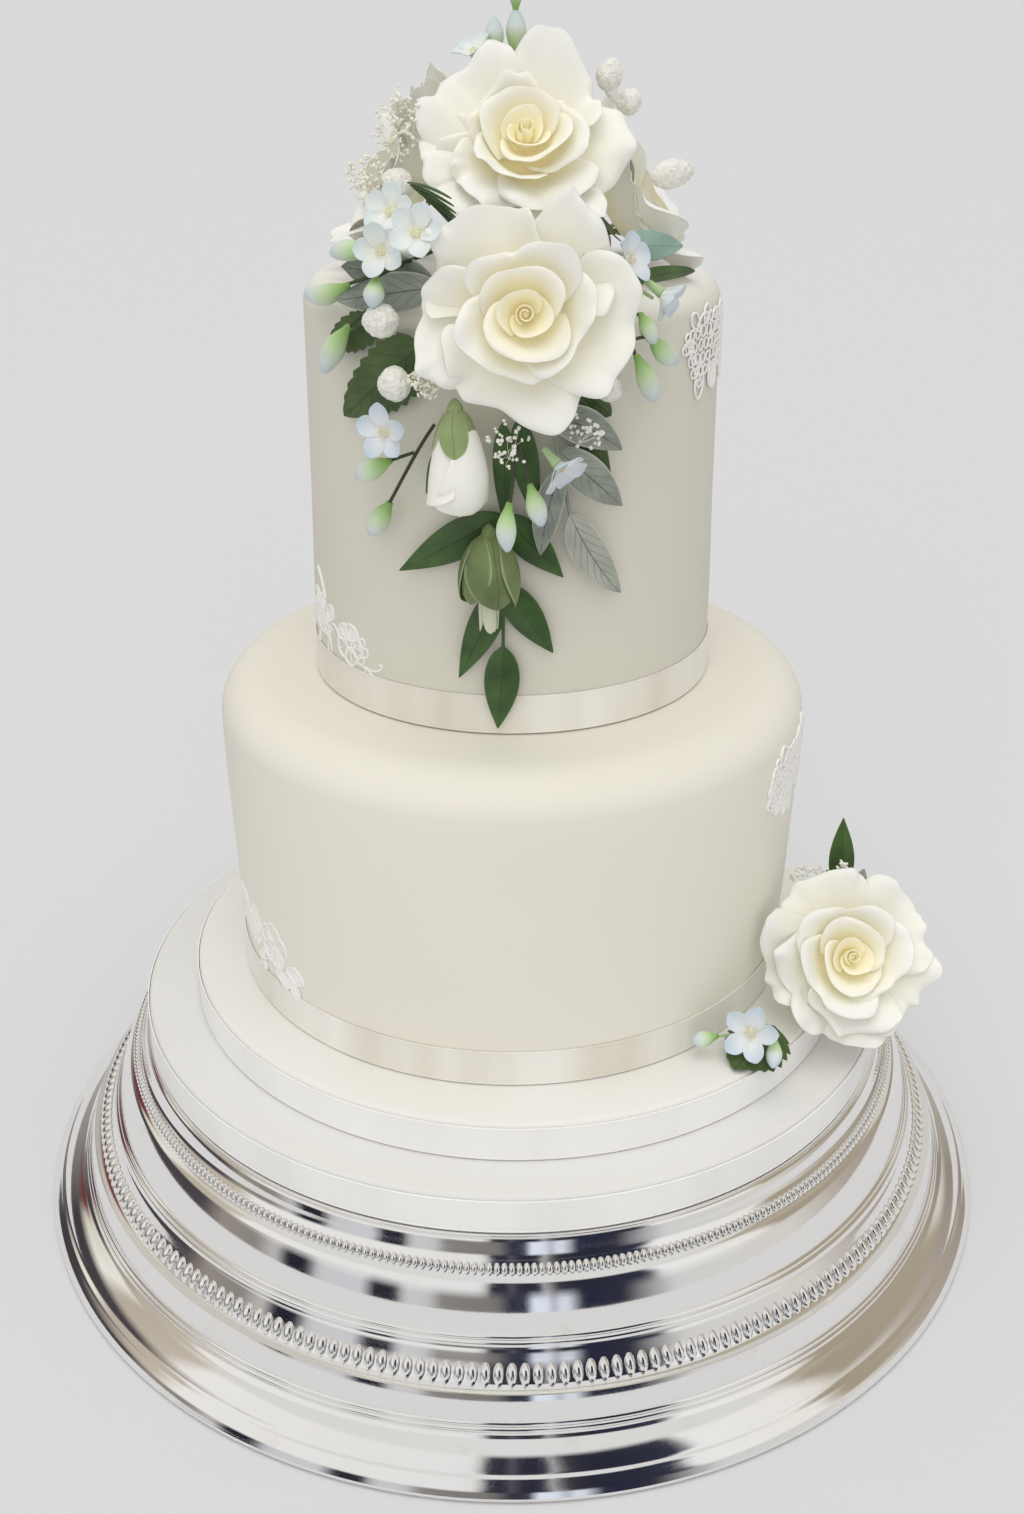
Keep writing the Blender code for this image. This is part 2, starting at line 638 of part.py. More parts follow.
def make_side_spray():
    """What is tucked round the rose on the boards."""
    root = Vector((0.1370, -0.0360, 0.1180))
    tip = Vector((0.1355, -0.0280, 0.1793))
    stem = wire("side_stem", [root, Vector((0.1368, -0.0310, 0.1530))], WIRE_RADIUS, dark_leaf, cake)
    tall = leaf("side_tall_leaf", Vector((0.1368, -0.0315, 0.1480)), tip, 0.0105, (0, -1, 0), dark_leaf)
    low = leaf(
        "side_small_leaf", Vector((0.1370, -0.0355, 0.1250)), Vector((0.1600, -0.0330, 0.1400)),
        0.0070, (0, -0.8, 0.6), dark_leaf,
    )
    united("side_leaves", [stem, tall, low])
    front_root = Vector((0.1030, -0.0850, 0.1170))
    front_tip = Vector((0.0850, -0.1080, 0.1135))
    leaf("side_rose_leaf", front_root, front_tip, 0.0240, (0, -0.35, 0.94), rose_leaf, 0.02)
    heart = Vector((0.0915, -0.0985, 0.1230))
    left = Vector((0.0795, -0.0980, 0.1215))
    low = Vector((0.1015, -0.0960, 0.1200))
    sprig_of = [
        blossom("side_blossom", heart, (-0.25, -0.86, 0.45), 6.0, 0.0115),
        bud("side_bud_left", left, Vector((0.0690, -0.0990, 0.1195)), 0.0036),
        bud("side_bud_low", low, Vector((0.0995, -0.1078, 0.1135)), 0.0036),
        wire("side_wire_left", [left, Vector((0.0900, -0.0930, 0.1190)), heart], WIRE_RADIUS, blue_bud, cake),
        wire("side_wire_low", [low, Vector((0.0960, -0.0930, 0.1195)), heart], WIRE_RADIUS, blue_bud, cake),
    ]
    united("side_blossoms", sprig_of)


def make_stems():
    """The taped stems that carry the spray, from the middle of the tier's top, with leaves at the back."""
    foot = around(0.0, 0.0, 0.0008)
    trunk = wire("spray_trunk", [foot, around(0.0, 0.0010, 0.0280)], 0.0045, dark_leaf, cake)
    arms = [trunk]
    for k, (angle, reach, height, tip_reach, tip_height) in enumerate(
        (
            (-125.0, 0.040, 0.010, 0.078, 0.0080),
            (125.0, 0.040, 0.010, 0.078, 0.0080),
            (-152.0, 0.044, 0.007, 0.086, -0.0050),
            (152.0, 0.044, 0.007, 0.086, -0.0050),
        )
    ):
        start, end = around(angle, reach, height), around(angle, tip_reach, tip_height)
        mid = around(angle, 0.002, 0.0060)
        inside = start.lerp(end, 0.3) + Vector((0.0, 0.0, 0.0040))
        arms.append(wire(f"spray_arm_{k}", [mid, start, inside], 0.0011, dark_leaf, cake))
        arms.append(leaf(f"spray_leaf_{k}", start, end, 0.0150, (0, 0.3, 0.95), dark_leaf, 0.12))
    united("spray_stems", arms)


clear_scene()
cake = new_collection("wedding_cake")
helpers = new_collection("helpers")

silver = material("silver_plate", (0.86, 0.85, 0.83), 0.06, 1.0)
sugar_paste = material("sugar_paste", (0.80, 0.77, 0.69), 0.45)
satin = material("satin_ribbon", (0.84, 0.81, 0.74), 0.30)
pearl_lace = material("sugar_lace", (0.88, 0.87, 0.85), 0.40)
ivory_petal = material("ivory_petal", (0.88, 0.85, 0.74), 0.50)
green_sepal = material("green_sepal", (0.17, 0.26, 0.12), 0.45)
dark_leaf = material("dark_leaf", (0.03, 0.09, 0.03), 0.40)
rose_leaf = material("rose_leaf", (0.07, 0.13, 0.05), 0.45)
grey_leaf = material("grey_leaf", (0.33, 0.38, 0.36), 0.55)
teal_leaf = material("teal_leaf", (0.32, 0.48, 0.45), 0.50)
blue_bud = material("blue_bud", (0.50, 0.66, 0.60), 0.45)
blue_petal = material("blue_petal", (0.64, 0.76, 0.84), 0.50)
white_berry = material("white_berry", (0.85, 0.83, 0.77), 0.70)
gypsophila = material("gypsophila", (0.82, 0.80, 0.70), 0.70)

make_stand()
make_board("board_lower", BOARD_LOWER_RADIUS, BOARD_LOWER_BASE, 0.0)
make_board("board_upper", BOARD_UPPER_RADIUS, BOARD_UPPER_BASE, BOARD_UPPER_SHIFT)
make_tiers()
make_lace()
make_roses()
make_rosebuds()
make_leaves()
make_buds()
make_blossoms()
make_berries()
make_clumps()
make_side_spray()
make_stems()
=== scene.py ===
import math
import random

import bpy
from mathutils import Matrix, Vector, noise as clouds


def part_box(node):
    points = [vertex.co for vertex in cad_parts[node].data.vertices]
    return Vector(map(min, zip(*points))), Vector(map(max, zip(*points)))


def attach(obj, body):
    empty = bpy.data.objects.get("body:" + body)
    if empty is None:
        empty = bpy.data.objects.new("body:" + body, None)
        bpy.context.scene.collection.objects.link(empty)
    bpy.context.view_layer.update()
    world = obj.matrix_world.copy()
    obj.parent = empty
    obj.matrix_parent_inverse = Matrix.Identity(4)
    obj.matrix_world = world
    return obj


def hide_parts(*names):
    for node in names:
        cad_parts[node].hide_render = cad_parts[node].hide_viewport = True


# Looks of a two-tier wedding cake with sugar flowers, on two iced boards and a beaded silver stand.
# Metres, +Z up, the cake's front looks along -Y.

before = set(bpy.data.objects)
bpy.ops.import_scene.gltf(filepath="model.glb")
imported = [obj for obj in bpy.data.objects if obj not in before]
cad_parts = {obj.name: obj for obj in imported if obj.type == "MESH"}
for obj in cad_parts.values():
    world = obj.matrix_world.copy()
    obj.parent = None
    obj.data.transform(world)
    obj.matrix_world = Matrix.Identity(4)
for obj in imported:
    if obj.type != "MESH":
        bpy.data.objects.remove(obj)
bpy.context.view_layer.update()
mm = 0.001


# ---- working helpers


def deselectAll():
    bpy.ops.object.select_all(action="DESELECT")


def pick(piece):
    deselectAll()
    piece.select_set(True)
    bpy.context.view_layer.objects.active = piece


def editAll():
    bpy.ops.object.mode_set(mode="EDIT")
    bpy.ops.mesh.select_all(action="SELECT")


def objectMode():
    bpy.ops.object.mode_set(mode="OBJECT")


def applyModifiers(piece):
    pick(piece)
    for modifier in list(piece.modifiers):
        bpy.ops.object.modifier_apply(modifier=modifier.name)


def joinPieces(pieces, name):
    deselectAll()
    for piece in pieces:
        piece.select_set(True)
    bpy.context.view_layer.objects.active = pieces[0]
    if len(pieces) > 1:
        bpy.ops.object.join()
    pieces[0].name = name
    return pieces[0]


def smooth(piece, degrees=40.0):
    pick(piece)
    bpy.ops.object.shade_smooth_by_angle(angle=math.radians(degrees))


def giveMaterial(piece, material):
    piece.data.materials.clear()
    piece.data.materials.append(material)


def standsFor(piece, slot, *nodes):
    # every piece rides on the one body, and hides the plain solids it stands for
    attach(piece, "root")
    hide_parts(*nodes)
    return piece


def turnOutline(name, outline, steps):
    # a point is drawn out along the outline, then the line is spun round the cake's axis
    deselectAll()
    bpy.ops.mesh.primitive_plane_add(size=mm)
    piece = bpy.context.active_object
    piece.name = name
    editAll()
    bpy.ops.mesh.merge(type="CENTER")
    bpy.ops.transform.translate(value=(outline[0][0], 0.0, outline[0][1]))
    for here, there in zip(outline, outline[1:]):
        step = (there[0] - here[0], 0.0, there[1] - here[1])
        bpy.ops.mesh.extrude_vertices_move(TRANSFORM_OT_translate={"value": step})
    bpy.ops.mesh.select_all(action="SELECT")
    bpy.ops.mesh.spin(steps=steps, angle=2.0 * math.pi, center=(0.0, 0.0, 0.0), axis=(0.0, 0.0, 1.0))
    bpy.ops.mesh.select_all(action="SELECT")
    bpy.ops.mesh.remove_doubles(threshold=0.001 * mm)
    bpy.ops.mesh.normals_make_consistent(inside=False)
    objectMode()
    return piece


def arcPoints(centreRadius, centreHeight, radius, start, end, count):
    points = []
    for k in range(count + 1):
        angle = math.radians(start + (end - start) * k / count)
        points.append((centreRadius + radius * math.cos(angle), centreHeight + radius * math.sin(angle)))
    return points


def hollowBetween(low, high, depth, count):
    # points between two ends of a turned wall, bowed by depth to the right of the way from low to high
    points = []
    across = (high[1] - low[1], -(high[0] - low[0]))
    length = math.hypot(*across)
    for k in range(1, count):
        share = k / count
        bow = 4.0 * depth * share * (1.0 - share) / length
        x = low[0] + (high[0] - low[0]) * share + across[0] * bow
        z = low[1] + (high[1] - low[1]) * share + across[1] * bow
        points.append((x, z))
    return points


# ---- material helpers


def newMaterial(name, colour, roughness, settings=None):
    material = bpy.data.materials.new(name)
    material.use_nodes = True
    shader = material.node_tree.nodes["Principled BSDF"]
    shader.inputs["Base Color"].default_value = (*colour, 1.0)
    shader.inputs["Roughness"].default_value = roughness
    for socket, value in (settings or {}).items():
        shader.inputs[socket].default_value = value
    return material


def addNode(material, kind, settings=None):
    node = material.node_tree.nodes.new(kind)
    for socket, value in (settings or {}).items():
        node.inputs[socket].default_value = value
    return node


def link(material, source, target):
    material.node_tree.links.new(source, target)


def shaderOf(material):
    return material.node_tree.nodes["Principled BSDF"]


def objectCoords(material, stretch=(1.0, 1.0, 1.0)):
    place = addNode(material, "ShaderNodeTexCoord")
    mapping = addNode(material, "ShaderNodeMapping", {"Scale": stretch})
    link(material, place.outputs["Object"], mapping.inputs["Vector"])
    return mapping.outputs["Vector"]


def noise(material, vector, scale, detail=3.0, roughness=0.5):
    node = addNode(material, "ShaderNodeTexNoise", {"Scale": scale, "Detail": detail, "Roughness": roughness})
    link(material, vector, node.inputs["Vector"])
    return node.outputs["Fac"]


def ramp(material, factor, stops):
    node = addNode(material, "ShaderNodeValToRGB")
    bar = node.color_ramp.elements
    while len(bar) < len(stops):
        bar.new(0.5)
    for element, (place, colour) in zip(bar, stops):
        element.position = place
        element.color = (*colour, 1.0)
    link(material, factor, node.inputs["Fac"])
    return node.outputs["Color"]


def grey(value):
    return (value, value, value)


def bump(material, height, strength, distance):
    shader = shaderOf(material)
    node = addNode(material, "ShaderNodeBump", {"Strength": strength, "Distance": distance})
    link(material, height, node.inputs["Height"])
    if shader.inputs["Normal"].links:
        link(material, shader.inputs["Normal"].links[0].from_socket, node.inputs["Normal"])
    link(material, node.outputs["Normal"], shader.inputs["Normal"])


def reckon(material, operation, *values):
    # one step of arithmetic in a material; each value is a number or another node's output
    node = addNode(material, "ShaderNodeMath")
    node.operation = operation
    for slot, value in enumerate(values):
        if isinstance(value, (int, float)):
            node.inputs[slot].default_value = value
        else:
            link(material, value, node.inputs[slot])
    return node.outputs["Value"]


def mixColours(material, factor, first, second):
    node = addNode(material, "ShaderNodeMix")
    node.data_type = "RGBA"
    link(material, factor, node.inputs[0])
    for slot, colour in ((6, first), (7, second)):
        if isinstance(colour, tuple):
            node.inputs[slot].default_value = (*colour, 1.0)
        else:
            link(material, colour, node.inputs[slot])
    return node.outputs[2]


def painted(material, name):
    node = addNode(material, "ShaderNodeAttribute")
    node.attribute_name = name
    return node.outputs["Fac"]


# ---- camera, light and floor


def makeStage():
    studio = {
        "cameraPlace": (0.0, -0.5989, 0.4826),
        "cameraPitch": 0.45,
        "lens": 37.59,
        "skyColour": (1.0, 0.985, 0.96),
        "skyStrength": 0.50,
        "floorColour": (0.722, 0.732, 0.755),
        "floorSize": 900.0,
    }
    lens = bpy.data.cameras.new("studioCamera")
    lens.lens = studio["lens"]
    lens.sensor_width = 36.0
    lens.clip_start = 0.01
    camera = bpy.data.objects.new("studioCamera", lens)
    camera.location = studio["cameraPlace"]
    camera.rotation_euler = (0.5 * math.pi - studio["cameraPitch"], 0.0, 0.0)
    bpy.context.scene.collection.objects.link(camera)
    bpy.context.scene.camera = camera
    bpy.context.scene.view_settings.view_transform = "Standard"

    world = bpy.data.worlds.new("studioSky")
    world.use_nodes = True
    sky = world.node_tree.nodes["Background"]
    sky.inputs["Color"].default_value = (*studio["skyColour"], 1.0)
    sky.inputs["Strength"].default_value = studio["skyStrength"]
    bpy.context.scene.world = world

    deselectAll()
    bpy.ops.mesh.primitive_plane_add(size=studio["floorSize"])
    floor = bpy.context.active_object
    floor.name = "studioFloor"
    paper = newMaterial("paleFloor", studio["floorColour"], 0.9, {"Specular IOR Level": 0.1})
    giveMaterial(floor, paper)

    lamps = (
        # name, direction it comes from, strength, angle, colour
        ("overheadSoft", (-0.02, -0.22, 1.0), 1.30, 60.0, (1.0, 0.985, 0.955)),
        ("frontSoft", (-0.12, -1.0, 0.55), 0.52, 50.0, (1.0, 0.985, 0.955)),
    )
    for name, source, strength, angle, colour in lamps:
        light = bpy.data.lights.new(name, "SUN")
        light.energy = strength
        light.angle = math.radians(angle)
        light.color = colour
        lamp = bpy.data.objects.new(name, light)
        lamp.visible_glossy = False
        lamp.rotation_mode = "QUATERNION"
        lamp.rotation_quaternion = Vector(source).to_track_quat("Z", "Y")
        bpy.context.scene.collection.objects.link(lamp)
    makeRoom()
    print("studio ready")


def makeRoom():
    # what the silver mirrors: a dome that only shines in reflections, dark straight ahead and warm at the sides
    room = {"reach": 0.53, "height": 0.62}
    deselectAll()
    bpy.ops.mesh.primitive_uv_sphere_add(segments=64, ring_count=32, radius=1.0)
    dome = bpy.context.active_object
    dome.name = "studioRoom"
    dome.data.transform(Matrix.Diagonal((room["reach"], room["reach"], room["height"], 1.0)))
    for ray in ("camera", "diffuse", "transmission", "volume_scatter", "shadow"):
        setattr(dome, "visible_" + ray, False)
    paper = bpy.data.materials.new("roomReflections")
    paper.use_nodes = True
    paper.node_tree.nodes.remove(shaderOf(paper))
    shine = addNode(paper, "ShaderNodeEmission", {"Strength": 1.0})
    link(paper, shine.outputs["Emission"], paper.node_tree.nodes["Material Output"].inputs["Surface"])
    parts = addNode(paper, "ShaderNodeSeparateXYZ")
    link(paper, objectCoords(paper), parts.inputs["Vector"])
    ahead = reckon(paper, "MULTIPLY", parts.outputs["Y"], -1.0)
    around = reckon(paper, "ARCTAN2", parts.outputs["X"], ahead)
    share = reckon(paper, "MULTIPLY_ADD", around, 0.5 / math.pi, 0.5)
    low = roomBand(paper, share, (
        (-130.0, 0.45, 0.42, 0.38), (-102.0, 0.05, 0.045, 0.05), (-72.0, 0.07, 0.06, 0.07), (-66.0, 0.30, 0.27, 0.24), (-56.0, 0.26, 0.24, 0.22),
        (-51.0, 0.55, 0.54, 0.54), (-48.0, 0.012, 0.012, 0.022), (-43.0, 0.012, 0.012, 0.022), (-40.5, 0.60, 0.60, 0.63), (-30.5, 0.62, 0.62, 0.66),
        (-28.5, 0.015, 0.015, 0.025), (-23.5, 0.02, 0.02, 0.035), (-22.0, 0.62, 0.62, 0.64), (-17.0, 0.58, 0.58, 0.60), (-14.0, 0.24, 0.23, 0.22),
        (-3.0, 0.20, 0.19, 0.185), (-0.5, 0.03, 0.03, 0.05), (3.0, 0.03, 0.03, 0.06), (4.2, 0.78, 0.84, 0.95), (8.0, 0.70, 0.75, 0.85),
        (8.8, 0.20, 0.22, 0.30), (9.6, 0.70, 0.75, 0.85), (12.0, 0.70, 0.74, 0.82), (13.2, 0.015, 0.018, 0.045), (23.0, 0.03, 0.03, 0.05),
        (34.0, 0.66, 0.66, 0.66), (62.0, 0.68, 0.66, 0.62), (80.0, 0.45, 0.40, 0.35), (110.0, 0.30, 0.26, 0.22), (130.0, 0.50, 0.46, 0.42),
    ))
    high = roomBand(paper, share, (
        (-150.0, 0.62, 0.62, 0.63), (-122.0, 0.45, 0.42, 0.38), (-114.0, 0.17, 0.04, 0.05), (-105.0, 0.16, 0.04, 0.05), (-102.0, 0.70, 0.66, 0.56),
        (-90.0, 0.84, 0.82, 0.76), (-84.0, 0.48, 0.43, 0.36), (-67.0, 0.55, 0.49, 0.41), (-62.0, 0.85, 0.84, 0.81), (-30.0, 0.82, 0.81, 0.80),
        (-6.0, 0.80, 0.80, 0.80), (-4.5, 0.020, 0.020, 0.035), (-0.5, 0.030, 0.030, 0.050), (0.5, 0.16, 0.16, 0.18), (1.5, 0.020, 0.020, 0.040),
        (6.5, 0.025, 0.025, 0.045), (7.5, 0.80, 0.80, 0.80), (8.6, 0.035, 0.033, 0.045), (12.0, 0.03, 0.03, 0.045), (13.5, 0.020, 0.022, 0.040),
        (29.0, 0.030, 0.032, 0.055), (31.5, 0.86, 0.86, 0.86), (56.0, 0.84, 0.82, 0.78), (62.0, 0.38, 0.33, 0.25), (98.0, 0.40, 0.35, 0.27),
        (104.0, 0.66, 0.62, 0.55), (150.0, 0.62, 0.62, 0.63),
    ))
    over = roomBand(paper, share, (
        (-150.0, 0.62, 0.62, 0.63), (-100.0, 0.60, 0.57, 0.50), (-60.0, 0.72, 0.71, 0.69), (0.0, 0.74, 0.74, 0.74), (58.0, 0.72, 0.71, 0.68),
        (64.0, 0.44, 0.39, 0.31), (98.0, 0.46, 0.41, 0.33), (106.0, 0.62, 0.60, 0.56), (150.0, 0.62, 0.62, 0.63),
    ))
    rise = reckon(paper, "MULTIPLY_ADD", parts.outputs["Z"], 16.0, -1.4)
    lift = reckon(paper, "MULTIPLY_ADD", parts.outputs["Z"], 22.0, -6.8)
    walls = mixColours(paper, reckon(paper, "MINIMUM", reckon(paper, "MAXIMUM", rise, 0.0), 1.0), low, high)
    ceiling = reckon(paper, "MINIMUM", reckon(paper, "MAXIMUM", lift, 0.0), 1.0)
    link(paper, mixColours(paper, ceiling, walls, over), shine.inputs["Color"])
    paper.cycles.emission_sampling = "NONE"
    giveMaterial(dome, paper)


def roomBand(material, share, stops):
    # colours round the room, by the angle from straight ahead
    return ramp(material, share, [((angle + 180.0) / 360.0, colour) for angle, *colour in stops])


# ---- finishes of the stand and the cake


def silverFinish():
    silver = newMaterial("polishedSilverPlate", (0.93, 0.92, 0.905), 0.07, {"Metallic": 1.0})
    spots = objectCoords(silver)
    bump(silver, noise(silver, spots, 22.0, 2.0), 0.14, 0.8 * mm)
    bump(silver, noise(silver, objectCoords(silver, (1.0, 1.0, 0.3)), 110.0, 2.0), 0.10, 0.12 * mm)
    cloth = noise(silver, objectCoords(silver, (1.0, 1.0, 3.0)), 900.0, 2.0)
    link(silver, ramp(silver, cloth, ((0.30, grey(0.05)), (0.75, grey(0.12)))), shaderOf(silver).inputs["Roughness"])
    tarnish = noise(silver, spots, 60.0, 5.0, 0.65)
    stops = ((0.20, (0.86, 0.83, 0.78)), (0.42, (0.93, 0.92, 0.905)), (1.0, (0.94, 0.935, 0.925)))
    link(silver, ramp(silver, tarnish, stops), shaderOf(silver).inputs["Base Color"])
    return silver


def icingFinish(name, colour, warmer, paintedLitTop=None):
    icing = newMaterial(name, colour, 0.5, {"Specular IOR Level": 0.35})
    spots = objectCoords(icing)
    cloudy = noise(icing, spots, 9.0, 4.0)
    face = ramp(icing, cloudy, ((0.30, warmer), (0.70, colour)))
    # painted light: the colour turns to the lighter top colour over the last few mm up to the given height, so the top
    # reads lit above darker walls
    if paintedLitTop:
        height = addNode(icing, "ShaderNodeSeparateXYZ")
        link(icing, spots, height.inputs["Vector"])
        rise = reckon(icing, "MULTIPLY_ADD", height.outputs["Z"], 1.0 / paintedLitTop["depth"], 1.0 - paintedLitTop["height"] / paintedLitTop["depth"])
        face = mixColours(icing, reckon(icing, "MINIMUM", reckon(icing, "MAXIMUM", rise, 0.0), 1.0), face, paintedLitTop["colour"])
    link(icing, face, shaderOf(icing).inputs["Base Color"])
    bump(icing, noise(icing, spots, 22.0, 3.0), 0.12, 1.2 * mm)
    bump(icing, noise(icing, spots, 1400.0, 2.0), 0.10, 0.06 * mm)
    return icing


def satinFinish(name, stops):
    satin = newMaterial(name, stops[1][1], 0.34, {"Sheen Weight": 0.25, "Anisotropic": 0.6})
    threads = addNode(satin, "ShaderNodeTexWave", {"Scale": 1400.0, "Distortion": 0.4, "Detail": 1.0})
    threads.bands_direction = "Z"
    link(satin, objectCoords(satin), threads.inputs["Vector"])
    bump(satin, threads.outputs["Fac"], 0.16, 0.05 * mm)
    # painted sheen: vertical streaks of lighter and darker colour stand in for the satin's sheen bands
    paintedSheenStreaks = noise(satin, objectCoords(satin, (1.0, 1.0, 0.05)), 34.0, 3.0)
    link(satin, ramp(satin, paintedSheenStreaks, stops), shaderOf(satin).inputs["Base Color"])
    return satin


# ---- the stand


def makeStand(silver):
    stand = {"steps": 256, "metal": 3.0 * mm}
    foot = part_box("stand_wall")[1].x
    # down the outer side from the top plate: neck, bead seat, tall hollow wall, fine rings, bead seat,
    # smooth band, three fine rings, broad sloping band, rolled rim
    outer = [(161.2, 78.0), (161.9, 78.3), (162.4, 77.6), (162.9, 75.2), (163.4, 74.0), (163.9, 71.8)]
    outer += [(164.6, 71.2), (165.3, 70.2)]
    outer += [(167.0, 67.0), (168.6, 66.0), (169.3, 65.7)]
    outer += hollowBetween((169.3, 65.7), (176.1, 47.0), -1.2, 9)
    outer += [(176.1, 47.0), (176.9, 46.6), (177.3, 45.9), (177.2, 45.2), (178.0, 44.9), (178.5, 44.1), (178.4, 43.3)]
    outer += [(179.2, 42.4), (179.9, 41.1), (180.9, 39.2)]
    outer += [(184.6, 32.2), (186.2, 30.9), (187.6, 30.9), (188.9, 30.6)]
    outer += hollowBetween((188.9, 30.6), (191.6, 20.6), -0.5, 6)
    outer += [(191.6, 20.6), (192.3, 20.2), (192.6, 19.4), (192.4, 18.8), (193.2, 18.5), (193.6, 17.7)]
    outer += [(193.5, 17.1), (194.3, 16.7), (194.8, 15.9)]
    outer += hollowBetween((194.8, 15.9), (204.3, 8.1), -0.8, 9)
    outer += [(204.3, 8.1), (205.0, 7.9), (205.6, 7.2), (206.2, 6.7)]
    outer += [(207.6, 5.4), (208.8, 4.2)]
    outer = [(r * mm, z * mm) for r, z in outer]
    outer += arcPoints(foot - 1.7 * mm, 1.9 * mm, 1.7 * mm, 50.0, -50.0, 5)
    outer += [(foot - 2.4 * mm, 0.0), (foot - 4.6 * mm, 0.0), (foot - 5.2 * mm, 0.6 * mm)]
    inner = [(foot - 8.5 * mm, 5.0 * mm), (190.5 * mm, 14.6 * mm), (187.4 * mm, 20.6 * mm), (175.0 * mm, 38.5 * mm)]
    inner += [(172.2 * mm, 46.0 * mm), (160.2 * mm, 74.5 * mm), (158.6 * mm, 76.9 * mm)]
    wall = turnOutline("stand_shell", outer + inner + outer[:1], stand["steps"])
    smooth(wall, 50.0)
    giveMaterial(wall, silver)
    standsFor(wall, "silver_plate", "stand_wall")

    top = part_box("stand_top")
    edge = 0.5 * mm
    plate = [(0.0, top[1].z), (0.120, top[1].z)]
    plate += arcPoints(top[1].x - 0.8 * mm - edge, top[1].z - edge, edge, 90.0, 0.0, 3)
    plate += [(top[1].x - 0.8 * mm, top[0].z), (0.120, top[0].z), (0.0, top[0].z)]
    cover = turnOutline("stand_top_plate", plate, 192)
    smooth(cover, 50.0)
    giveMaterial(cover, silver)
    standsFor(cover, "silver_plate", "stand_top")

    rings = (
        # name, node, how many, half length, half width, reach, height, lean
        ("stand_large_beads", "stand_beads_large", 240, 4.3 * mm, 2.1 * mm, 183.2 * mm, 35.0 * mm, 36.0),
        ("stand_small_beads", "stand_beads_small", 384, 2.2 * mm, 1.22 * mm, 166.9 * mm, 69.0 * mm, 31.0),
    )
    for name, node, count, halfLength, halfWidth, reach, height, lean in rings:
        deselectAll()
        bpy.ops.mesh.primitive_uv_sphere_add(segments=8, ring_count=6, radius=halfWidth)
        bead = bpy.context.active_object
        bead.name = name
        editAll()
        bpy.ops.transform.resize(value=(1.0, 1.0, halfLength / halfWidth))
        bpy.ops.transform.rotate(value=math.radians(lean), orient_axis="Y", center_override=(0.0, 0.0, 0.0))
        bpy.ops.transform.translate(value=(reach, 0.0, height))
        bpy.ops.mesh.spin(
            steps=count - 1,
            dupli=True,
            angle=2.0 * math.pi * (count - 1) / count,
            center=(0.0, 0.0, 0.0),
            axis=(0.0, 0.0, 1.0),
        )
        objectMode()
        smooth(bead, 180.0)
        giveMaterial(bead, silver)
        standsFor(bead, "silver_plate", node)
    print("stand ready")


# ---- boards, tiers and ribbons


def roundSolid(name, node, radius, edge, steps, material, slot, shift=0.0):
    low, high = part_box(node)
    outline = [(0.0, high.z), (0.5 * radius, high.z)]
    outline += arcPoints(radius - edge, high.z - edge, edge, 90.0, 0.0, 5)
    outline += [(radius, low.z + 0.3 * mm), (radius - 0.3 * mm, low.z), (0.0, low.z)]
    piece = turnOutline(name, outline, steps)
    if shift:
        editAll()
        bpy.ops.transform.translate(value=(shift, 0.0, 0.0))
        objectMode()
    smooth(piece, 50.0)
    giveMaterial(piece, material)
    return standsFor(piece, slot, node)


def makeRibbon(name, node, material, seed):
    # a satin band with a fine raised edge on both sides, and its surface a little uneven
    low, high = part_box(node)
    shift = 0.5 * (low.x + high.x)
    radius = high.x - shift
    cell = {"round": 240, "edgeWidth": 0.5 * mm, "edgeHeight": 0.12 * mm, "uneven": 0.14 * mm}
    thick = 0.55 * mm
    edge = cell["edgeWidth"]
    lift = cell["edgeHeight"]
    outline = [(radius - thick, high.z), (radius - 0.1 * mm, high.z), (radius, high.z - 0.15 * mm)]
    outline += [(radius, high.z - edge), (radius - lift, high.z - edge - 0.15 * mm)]
    outline += [(radius - lift, 0.5 * (low.z + high.z))]
    outline += [(radius - lift, low.z + edge + 0.15 * mm), (radius, low.z + edge), (radius, low.z + 0.15 * mm)]
    outline += [(radius - 0.1 * mm, low.z), (radius - thick, low.z), (radius - thick, high.z)]
    piece = turnOutline(name, outline, cell["round"])
    rng = random.Random(seed)
    swells = [(rng.randint(3, 22), rng.uniform(0.0, 2.0 * math.pi), rng.uniform(0.3, 1.0)) for k in range(7)]
    for point in piece.data.vertices:
        angle = math.atan2(point.co.x, -point.co.y)
        swell = sum(size * math.sin(count * angle + phase) for count, phase, size in swells) / 7.0
        factor = 1.0 - cell["uneven"] * (1.0 - swell) / radius
        point.co.x = point.co.x * factor + shift
        point.co.y *= factor
    smooth(piece, 35.0)
    giveMaterial(piece, material)
    return standsFor(piece, "satin_ribbon", node)


